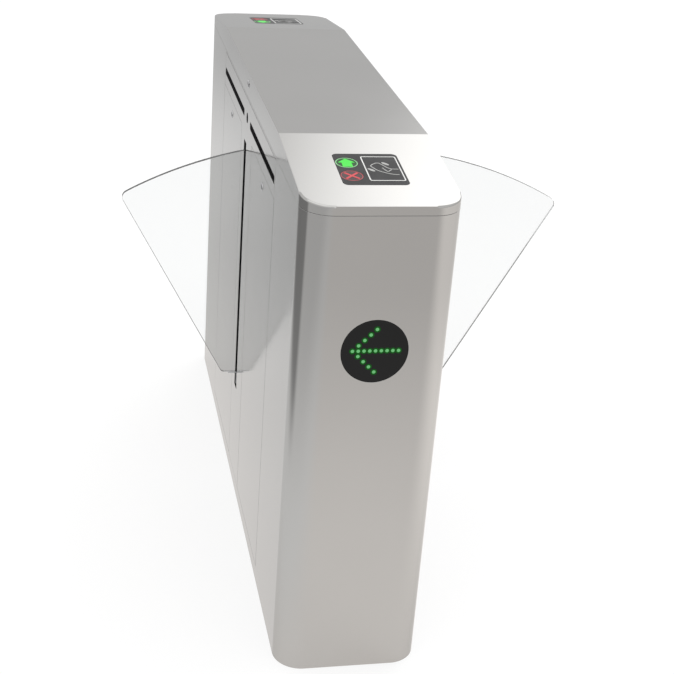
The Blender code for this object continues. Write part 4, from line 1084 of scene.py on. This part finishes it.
# The print on a reader, in millimetres from the middle of its face
MM = 0.001
ARROW = [(0, 17), (16, 1), (9, 1), (9, -15.8), (-9, -15.8), (-9, 1), (-16, 1)]
ARROW_CORNER_RADIUS = 0.8
CROSS_REACH, CROSS_HALF_WIDTH = 16.4, 2.2
RING_RADIUS, RING_WALL = 19.7, 1.4
PRINTED_FRAME = ((-9.0, -46.0), (55.0, 52.0))
FRAME_LINE, FRAME_RADIUS = 2.1, 4.0
HAND_LINE, HAND_BAR_HALF_WIDTH = 1.9, 3.2
HAND_LINES = (
    ((2.8, 12.6), (5.0, 16.5), (10.0, 21.5), (15.1, 24.8), (20.0, 24.0), (25.5, 16.5), (31.0, 7.0),
     (38.0, 1.2), (50.2, 0.6)),
    ((2.8, 12.6), (6.0, 6.0), (11.8, -4.0), (20.5, -11.4), (30.1, -17.5), (38.0, -20.5),
     (47.7, -21.6)),
    ((22.5, 5.5), (25.5, -2.0), (29.6, -9.0), (34.0, -5.5), (37.9, -0.9)),
)
HAND_BARS = (((-4.2, 3.0), (6.9, -8.7)), ((25.5, 27.8), (36.7, 16.2)))
INK_THICKNESS, INK_PROUD, LENS_SUNK = 0.0003, 0.00015, 0.0002


def ring_outline(centre):
    radii = (RING_RADIUS * MM, (RING_RADIUS - RING_WALL) * MM)
    return [circle(centre, radius, 96) for radius in radii]


def arrow_outline(centre):
    corners = [(centre[0] + x * MM, centre[1] + y * MM) for x, y in ARROW]
    return [rounded(corners, [ARROW_CORNER_RADIUS * MM] * len(corners), 4)]


def cross_outline(centre):
    """A cross of four equal arms, from three corners for each."""
    width, corners = CROSS_HALF_WIDTH, []
    for quarter in range(4):
        angle = math.radians(45.0 + 90.0 * quarter)
        along = Vector((math.cos(angle), math.sin(angle)))
        across = Vector((-along.y, along.x))
        for reach, shift in ((width, -width), (CROSS_REACH, -width), (CROSS_REACH, width)):
            point = along * reach + across * shift
            corners.append((centre[0] + point.x * MM, centre[1] + point.y * MM))
    return [corners]


def frame_outline():
    """The printed frame: a rounded outline and the same one a line's width inside it."""
    low, high = PRINTED_FRAME
    loops = []
    for inset in (0.0, FRAME_LINE):
        corners = [(x + inset * way, y + inset * way) for (x, y), way in ((low, 1), (high, -1))]
        corners = [(x * MM, y * MM) for x, y in corners]
        loops.append(rounded_rectangle(*corners, (FRAME_RADIUS - inset / 2) * MM))
    return loops


def hand_outlines():
    """A hand that holds out a card: three drawn lines and two leaf-shaped bars."""
    shapes = []
    for line in HAND_LINES:
        points = smoothed([(x * MM, y * MM) for x, y in line])
        shapes.append([ribbon(points, HAND_LINE * MM)])
    for start, end in HAND_BARS:
        start, end = Vector(start) * MM, Vector(end) * MM
        middle, along = (start + end) / 2, (end - start) / 2
        across = Vector((-along.y, along.x)).normalized() * HAND_BAR_HALF_WIDTH * MM
        leaf = circle((0.0, 0.0), 1.0, 24)
        shapes.append([[tuple(middle + along * u + across * v) for u, v in leaf]])
    return shapes


class TURNSTILE_OT_readers(bpy.types.Operator):
    """Make the two card readers: grey face, pass and stop lenses, printed frame and hand"""

    bl_idname = "turnstile.readers"
    bl_label = "Card readers"

    def execute(self, context):
        upper, lower = (ICON_X, ICON_SPACING), (ICON_X, -ICON_SPACING)
        prints = (
            ("pass_ring", "green_ring_ink", 0.0, [ring_outline(upper)]),
            ("pass_arrow", "lit_green_lens", 0.0, [arrow_outline(upper)]),
            ("stop_ring", "red_ring_ink", 0.0, [ring_outline(lower)]),
            ("stop_cross", "lit_red_lens", 0.0, [cross_outline(lower)]),
            ("printed_frame", "white_ink", INK_PROUD, [frame_outline()]),
            ("printed_hand", "pale_grey_ink", INK_PROUD, hand_outlines()),
        )
        lenses = (("pass", upper, "dark_green_lens"), ("stop", lower, "dark_red_lens"))
        for word, end in ENDS:
            place = slope_frame(end) @ Matrix.Diagonal((1.0, -end, 1.0, 1.0))
            holes = [circle(centre, ICON_RADIUS + GAP, 96) for centre in (lower, upper)]
            face = moved(softened(plate([reader_outline(0.0), *holes], SHEET), MOULDED_EDGE), place)
            panel, node = word + "_reader_panel", word + "_reader_module"
            add_piece(word + "_reader_face", face, "grey_backed_acrylic", "lid", panel)
            for name, centre, finish in lenses:
                disc = plate([circle(centre, ICON_RADIUS, 96)], SHEET - LENS_SUNK)
                disc = moved(softened(disc, STRIP_EDGE, 2), place @ at(z=-LENS_SUNK))
                add_piece(f"{word}_{name}_disc", disc, finish, "lid", f"{word}_{name}_lens")
            for name, finish, proud, shapes in prints:
                mesh = laid([plate(loops, INK_THICKNESS) for loops in shapes])
                add_piece(f"{word}_{name}", moved(mesh, place @ at(z=proud)), finish, "lid")
            case = softened(cad_copy(node), CASE_EDGE)
            add_piece(node + "_case", case, "black_abs", "lid", node)
        return {"FINISHED"}


# Wings and their drive

LEAF_WIDTH, STILE_WIDTH, LEAF_FOOT_WIDTH = 0.286, 0.010, 0.061
LEAF_BOTTOM_Z, LEAF_TOP_Z, LEAF_TIP_Z = 0.280, 0.8134, 0.708
LEAF_TIP_OVERSHOOT = 0.0056
LEAF_TOP_RADIUS, LEAF_TIP_RADIUS, LEAF_FOOT_RADIUS = 0.900, 0.015, 0.012
LEAF_TOP_STEPS, LEAF_CORNER_STEPS, LEAF_TIP_SPAN, LEAF_TIP_CLEAR = 48, 16, 8, 0.0005


def outer_leaf_outline():
    """The outer leaf seen from the front, X from its tip: an arched top and a sloping edge."""
    back, tip = STILE_WIDTH + GAP - LEAF_WIDTH, LEAF_TIP_OVERSHOOT
    top, low = Vector((-LEAF_WIDTH, LEAF_TOP_Z)), Vector((tip, LEAF_TIP_Z))
    chord = low - top
    rise = math.sqrt(LEAF_TOP_RADIUS**2 - (chord.length / 2) ** 2)
    centre = (top + low) / 2 - Vector((-chord.y, chord.x)).normalized() * rise
    arch = []
    for step in range(LEAF_TOP_STEPS + 1):
        x = tip + (back - tip) * step / LEAF_TOP_STEPS
        arch.append((x, centre.y + math.sqrt(LEAF_TOP_RADIUS**2 - (x - centre.x) ** 2)))
    heel, foot = (back, LEAF_BOTTOM_Z), (LEAF_FOOT_WIDTH - LEAF_WIDTH, LEAF_BOTTOM_Z)

    def corner(before, point, after, radius):
        return rounded([before, point, after], [0.0, radius, 0.0], LEAF_CORNER_STEPS)[1:-1]

    tip_corner = corner(foot, arch[0], arch[LEAF_TIP_SPAN], LEAF_TIP_RADIUS)
    foot_corner = corner(heel, foot, arch[0], LEAF_FOOT_RADIUS)
    kept = [point for point in arch[1:] if point[0] < tip_corner[-1][0] - LEAF_TIP_CLEAR]
    return tip_corner + kept + [heel] + foot_corner


class TURNSTILE_OT_wings(bpy.types.Operator):
    """Cut the clear leaves of both wings and finish the carriers that hold them"""

    bl_idname = "turnstile.wings"
    bl_label = "Wings"

    def execute(self, context):
        for side, turn in SIDES:
            words = ("_outer_leaf", "_inner_leaf", "_leaf_carrier")
            outer, inner, carrier = (side + word for word in words)
            corners = [about("Z", -turn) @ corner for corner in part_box(outer)]
            low_x, face_y = min(p.x for p in corners), min(p.y for p in corners)
            thickness = max(p.y for p in corners) - face_y
            tip_x = low_x - (STILE_WIDTH + GAP - LEAF_WIDTH)
            place = about("Z", turn) @ at(tip_x, face_y) @ FACING_END
            leaf = softened(plate([outer_leaf_outline()], thickness, place), POLISHED_EDGE)
            stages = side + "_leaf_stage", side + "_beam_stage"
            add_piece(side + "_outer_pane", leaf, "clear_cast_acrylic", stages[0], outer)
            leaf = softened(cad_copy(inner), POLISHED_EDGE)
            add_piece(side + "_inner_pane", leaf, "clear_cast_acrylic", stages[1], inner)
            bar = softened(cad_copy(carrier), MOULDED_EDGE, 2)
            add_piece(side + "_carrier_bar", bar, "anodised_aluminium", stages[0], carrier)
        return {"FINISHED"}


class TURNSTILE_OT_drives(bpy.types.Operator):
    """Finish the beams, belts, pulleys, pinions and motors, and the frame that holds them"""

    bl_idname = "turnstile.drives"
    bl_label = "Wing drives"

    def execute(self, context):
        rows = []
        for side, _ in SIDES:
            stage, pinion = side + "_beam_stage", side + "_pinion"
            rows += [
                (side + "_beam", "rack_beam", stage, 0.00010, "anodised_aluminium"),
                (side + "_belt", "belt_loop", stage, STRIP_EDGE, "neoprene_belt"),
                (side + "_belt_motor", "can", stage, POLISHED_EDGE, "black_abs"),
                (pinion, "gear", pinion, 0.00008, "machined_steel"),
                (side + "_gear_motor", "can", "cabinet", POLISHED_EDGE, "machined_steel"),
            ]
            for node in (side + "_drive_pulley", side + "_idle_pulley"):
                rows.append((node, "wheel", node, STRIP_EDGE, "machined_steel"))
        rows.append(("drive_frame", "weldment", "cabinet", MOULDED_EDGE, "zinc_plated_steel"))
        for node, word, body, width, finish in rows:
            mesh = softened(cad_copy(node), width, 2)
            mesh = baked(mesh, ("TRIANGULATE", {"min_vertices": 5}))
            add_piece(f"{node}_{word}", mesh, finish, body, node)
        return {"FINISHED"}


BOX_LIP, BOX_RECESS = 0.006, 0.0012
BOX_SCREW, BOX_SCREW_INSET, BOX_SCREW_SUNK = (0.0035, 0.0012), 0.014, 0.0002
VENT_ROWS, VENT_COLUMNS, VENT_PITCH = 17, 9, 0.010
VENT_START, VENT_SIZE, VENT_RISE = (0.013, 0.020), (0.0028, 0.0028, 0.0003), 0.0004


class TURNSTILE_OT_base(bpy.types.Operator):
    """Finish the base plate and the electrical boxes that stand on it"""

    bl_idname = "turnstile.base"
    bl_label = "Base and boxes"

    def execute(self, context):
        sheet = softened(cad_copy("base_plate"), CASE_EDGE, 2)
        add_piece("base_plate_sheet", sheet, "zinc_plated_steel", "cabinet", "base_plate")
        low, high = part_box("control_box")
        lip = BOX_LIP
        cover = box((low.x + lip, low.y + lip, high.z - lip), (high.x - lip, high.y - lip, high.z))
        case = softened(joined(box(low, high - Vector((0.0, 0.0, BOX_RECESS))), cover), 0.0010)
        add_piece("control_box_case", case, "black_abs", "cabinet", "control_box")
        inset, z = BOX_SCREW_INSET, high.z - BOX_SCREW_SUNK
        xs, ys = (low.x + inset, high.x - inset), (low.y + inset, high.y - inset)
        corners = [(x, y, z) for x in xs for y in ys]
        heads = repeated(corners, screw_head(*BOX_SCREW), "machined_steel")
        add_piece("control_box_screws", shaded(heads), "machined_steel", "cabinet")
        low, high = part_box("power_supply")
        top = high.z - VENT_RISE
        case = softened(box(low, (high.x, high.y, top)), 0.0016)
        add_piece("power_supply_case", case, "anodised_aluminium", "cabinet", "power_supply")
        places = []
        for row in range(VENT_ROWS):
            for column in range(VENT_COLUMNS):
                x = low.x + VENT_START[0] + (column + row % 2 / 2) * VENT_PITCH
                if x < high.x - VENT_PITCH:
                    places.append((x, low.y + VENT_START[1] + row * VENT_PITCH, top))
        vent = turned([(0.0, 0.5), (1.0, 0.5), (1.0, -0.5), (0.0, -0.5)], steps=12)
        vents = shaded(repeated(places, vent, "black_abs", VENT_SIZE))
        add_piece("power_supply_vents", vents, "black_abs", "cabinet")
        return {"FINISHED"}


# Stage

# Light that the floor throws back by itself, light that the camera sees in the white, and the
# share that is left of what a mirror sees through a wing
FLOOR_SHARE, WHITE_SEEN, ACRYLIC_VEIL = 0.28, 1.02, 0.86
FLOOR_HALF_SIZE, FLOOR_STEPS = 12.0, 8
PANEL_DIRECTION = Vector((0.55, 0.68, 0.50)).normalized()
LAMP_PLACE, LAMP_TARGET = Vector((-0.6, -0.4, 3.4)), Vector((0.0, 0.0, 0.6))
LAMP_SIZE, LAMP_WATTS = 2.6, 14.0
CAMERA_PLACE, CAMERA_LENS = (-0.539, -2.8138, 1.7314), 74.55
CAMERA_YAW, CAMERA_PITCH, CAMERA_ROLL = -0.2189, 0.4409, 0.0745


def seen_rays(tree):
    """Where a ray comes from, as outputs that give 1: the camera, also through a wing; the camera
    or a mirror; a mirror. The last is the share of light left to a mirrored ray after a wing."""
    rays = add_node(tree, "ShaderNodeLightPath").node.outputs
    seen = [rays["Is Camera Ray"], rays["Is Transmission Ray"]]
    direct = add_node(tree, MATH, seen, operation="MAXIMUM")
    shown = add_node(tree, MATH, [direct, rays["Is Glossy Ray"]], operation="MAXIMUM")
    mirrored = add_node(tree, MATH, [rays["Glossy Depth"], 0.5], operation="GREATER_THAN")
    passed = add_node(tree, MATH, [mirrored, rays["Transmission Depth"]], operation="MULTIPLY")
    veil = add_node(tree, MAP_RANGE, [passed, 0.0, 1.0, 1.0, ACRYLIC_VEIL])
    return direct, shown, mirrored, veil


def floor_material():
    """Matt white studio floor. The camera sees it white with the object's shadow. Mirrors see
    painted light and painted shade on it: brighter to the right and near the middle, darker to the
    left and far back, with a painted dark patch on the left that stands in for the shade of a dark
    screen, so the steel shows a painted reflection of it."""
    even = {"Roughness": 1.0, "Specular IOR Level": 0.0, "Base Color": (*[FLOOR_SHARE] * 3, 1.0)}
    material, tree, shader = surface("white_floor_painted_reflections", even)
    _, shown, mirrored, veil = seen_rays(tree)
    place = add_node(tree, PLACES, out="Object")
    parts = add_node(tree, PARTS, [place]).node.outputs
    x, y = parts["X"], parts["Y"]
    centre = [place, (0.0, -0.5, 0.0)]
    far = add_node(tree, "ShaderNodeVectorMath", centre, "Value", operation="DISTANCE")
    across = add_node(tree, MATH, [y, 0.5, x], operation="MULTIPLY_ADD")
    # Each fade follows a measure of the place between two values, in metres, and gives the light
    # at both
    far, left, right, back, painted_shade_across, painted_shade_along, warm = (
        add_node(tree, MAP_RANGE, row, **SMOOTH)
        for row in (
            [far, 0.3, 2.2, 1.13, 0.79],
            [x, -1.6, -0.4, 0.88, 1.03],
            [across, -0.4, 1.2, 1.0, 1.42],
            [y, 1.8, 4.2, 1.0, 0.63],
            [x, -1.25, -0.75, 0.57, 0.0],
            [y, -0.65, -0.20, 0.0, 1.0],
            [x, -0.6, 0.1, 0.0, 1.0],
        )
    )
    # Painted shade: a dark patch on the floor to the left, seen only in mirrors
    painted_shade_patch = add_node(tree, MATH, [painted_shade_across, painted_shade_along], operation="MULTIPLY")
    clear = add_node(tree, MATH, [1.0, painted_shade_patch], operation="SUBTRACT")
    total = far
    for factor in (left, right, back, clear, veil):
        total = add_node(tree, MATH, [total, factor], operation="MULTIPLY")
    extra = add_node(tree, MATH, [total, FLOOR_SHARE], operation="SUBTRACT")
    lights = {0: mirrored, 2: WHITE_SEEN - FLOOR_SHARE, 3: extra}
    light = add_node(tree, MIX, lights, data_type="FLOAT")
    warm = add_node(tree, MATH, [warm, mirrored], operation="MULTIPLY")
    tones = {0: warm, 6: linear(FLOOR_WHITE), 7: linear(FLOOR_WARM)}
    colour = add_node(tree, MIX, tones, 2, data_type="RGBA")
    matt = shader.outputs[0]
    both = [matt, add_node(tree, "ShaderNodeEmission", {"Color": colour, "Strength": light})]
    both = add_node(tree, "ShaderNodeAddShader", both)
    choose = add_node(tree, "ShaderNodeMixShader", [shown, matt, both])
    tree.links.new(choose, tree.nodes["Material Output"].inputs["Surface"])
    return material


def studio_world():
    """A pale room for the light and the mirrors, with a bright soft panel high at the back right,
    and plain white for the camera."""
    world = bpy.data.worlds.new("studio")
    world.use_nodes = True
    tree = world.node_tree
    direct, _, mirrored, veil = seen_rays(tree)
    plain = add_node(tree, MATH, [direct, mirrored], operation="SUBTRACT", use_clamp=True)
    place = add_node(tree, PLACES, out="Generated")
    height = add_node(tree, PARTS, [place], "Z")
    ways = [place, PANEL_DIRECTION]
    near = add_node(tree, "ShaderNodeVectorMath", ways, "Value", operation="DOT_PRODUCT")
    rise = add_node(tree, MAP_RANGE, [height, -0.05, 0.35, 0.735, 1.0], **SMOOTH)
    panel = add_node(tree, MAP_RANGE, [near, 0.885, 0.965, 0.0, 1.75], **SMOOTH)
    light = add_node(tree, MATH, [rise, panel], operation="ADD")
    room = tree.nodes["Background"]
    room.inputs["Color"].default_value = linear(FLOOR_WHITE)
    veiled = add_node(tree, MATH, [light, veil], operation="MULTIPLY")
    tree.links.new(veiled, room.inputs["Strength"])
    white = {"Color": linear(FLOOR_WHITE), "Strength": WHITE_SEEN}
    white = add_node(tree, "ShaderNodeBackground", white)
    mix = add_node(tree, "ShaderNodeMixShader", [plain, room.outputs[0], white])
    tree.links.new(mix, tree.nodes["World Output"].inputs["Surface"])
    return world


def add_soft_box():
    """A large square lamp overhead, for the soft shadow on the floor."""
    light = bpy.data.lights.new("overhead", "AREA")
    light.shape = "RECTANGLE"
    light.size = light.size_y = LAMP_SIZE
    light.energy = LAMP_WATTS
    lamp = linked("overhead", light)
    lamp.location = LAMP_PLACE
    lamp.rotation_euler = (LAMP_TARGET - LAMP_PLACE).to_track_quat("-Z", "Y").to_euler()


def add_camera():
    """The photograph's camera: a long lens, above and to the left of the near end."""
    level, drop = math.cos(CAMERA_PITCH), math.sin(CAMERA_PITCH)
    ahead = Vector((-math.sin(CAMERA_YAW) * level, math.cos(CAMERA_YAW) * level, -drop))
    right = Vector((math.cos(CAMERA_YAW), math.sin(CAMERA_YAW), 0.0))
    up = right.cross(ahead)
    right_now = right * math.cos(CAMERA_ROLL) + up * math.sin(CAMERA_ROLL)
    up_now = up * math.cos(CAMERA_ROLL) - right * math.sin(CAMERA_ROLL)
    lens = bpy.data.cameras.new("photo_camera")
    lens.sensor_width = 36.0
    lens.lens = CAMERA_LENS
    lens.clip_end = 100.0
    camera = linked("photo_camera", lens)
    matrix = Matrix((right_now, up_now, -ahead)).transposed().to_4x4()
    matrix.translation = CAMERA_PLACE
    camera.matrix_world = matrix
    bpy.context.scene.camera = camera


class TURNSTILE_OT_stage(bpy.types.Operator):
    """Lay the white floor, light it plainly and set the camera"""

    bl_idname = "turnstile.stage"
    bl_label = "Stage"

    def execute(self, context):
        context.scene.view_settings.view_transform = "Standard"
        add_camera()
        steps = {"x_segments": FLOOR_STEPS, "y_segments": FLOOR_STEPS, "size": FLOOR_HALF_SIZE}
        floor = mesh_from(lambda shape: bmesh.ops.create_grid(shape, **steps))
        floor.materials.append(floor_material())
        linked("floor", floor)
        context.scene.world = studio_world()
        add_soft_box()
        return {"FINISHED"}


# Panel and run

PIECE_OPERATORS = (
    TURNSTILE_OT_stage,
    TURNSTILE_OT_cabinet_skin,
    TURNSTILE_OT_fascias,
    TURNSTILE_OT_doors,
    TURNSTILE_OT_lid,
    TURNSTILE_OT_lid_hinge,
    TURNSTILE_OT_locks,
    TURNSTILE_OT_sensor_windows,
    TURNSTILE_OT_slot_trims,
    TURNSTILE_OT_indicators,
    TURNSTILE_OT_readers,
    TURNSTILE_OT_wings,
    TURNSTILE_OT_drives,
    TURNSTILE_OT_base,
)
GROUPS = {
    "turnstile_sheet": TurnstileSheet,
    "turnstile_signs": TurnstileSigns,
    "turnstile_colours": TurnstileColours,
}


class TURNSTILE_PT_pieces(bpy.types.Panel):
    """The turnstile's pieces and their sizes"""

    bl_label = "Sliding barrier turnstile"
    bl_space_type = "VIEW_3D"
    bl_region_type = "UI"
    bl_category = "Turnstile"

    def draw(self, context):
        for group in GROUPS:
            settings = getattr(context.scene, group)
            column = self.layout.column(align=True)
            for name in settings.bl_rna.properties.keys():
                if name not in ("rna_type", "name"):
                    column.prop(settings, name)
        column = self.layout.column(align=True)
        for operator in PIECE_OPERATORS:
            column.operator(operator.bl_idname, text=operator.bl_label)


CLASSES = (*GROUPS.values(), *PIECE_OPERATORS, TURNSTILE_PT_pieces)


def register():
    for cls in CLASSES:
        bpy.utils.register_class(cls)
    for name, group in GROUPS.items():
        setattr(bpy.types.Scene, name, PointerProperty(type=group))


def unregister():
    for name in GROUPS:
        delattr(bpy.types.Scene, name)
    for cls in reversed(CLASSES):
        bpy.utils.unregister_class(cls)


def main():
    register()
    make_materials()
    for operator in PIECE_OPERATORS:
        getattr(bpy.ops.turnstile, operator.bl_idname.split(".")[1])()


if __name__ == "__main__":
    main()
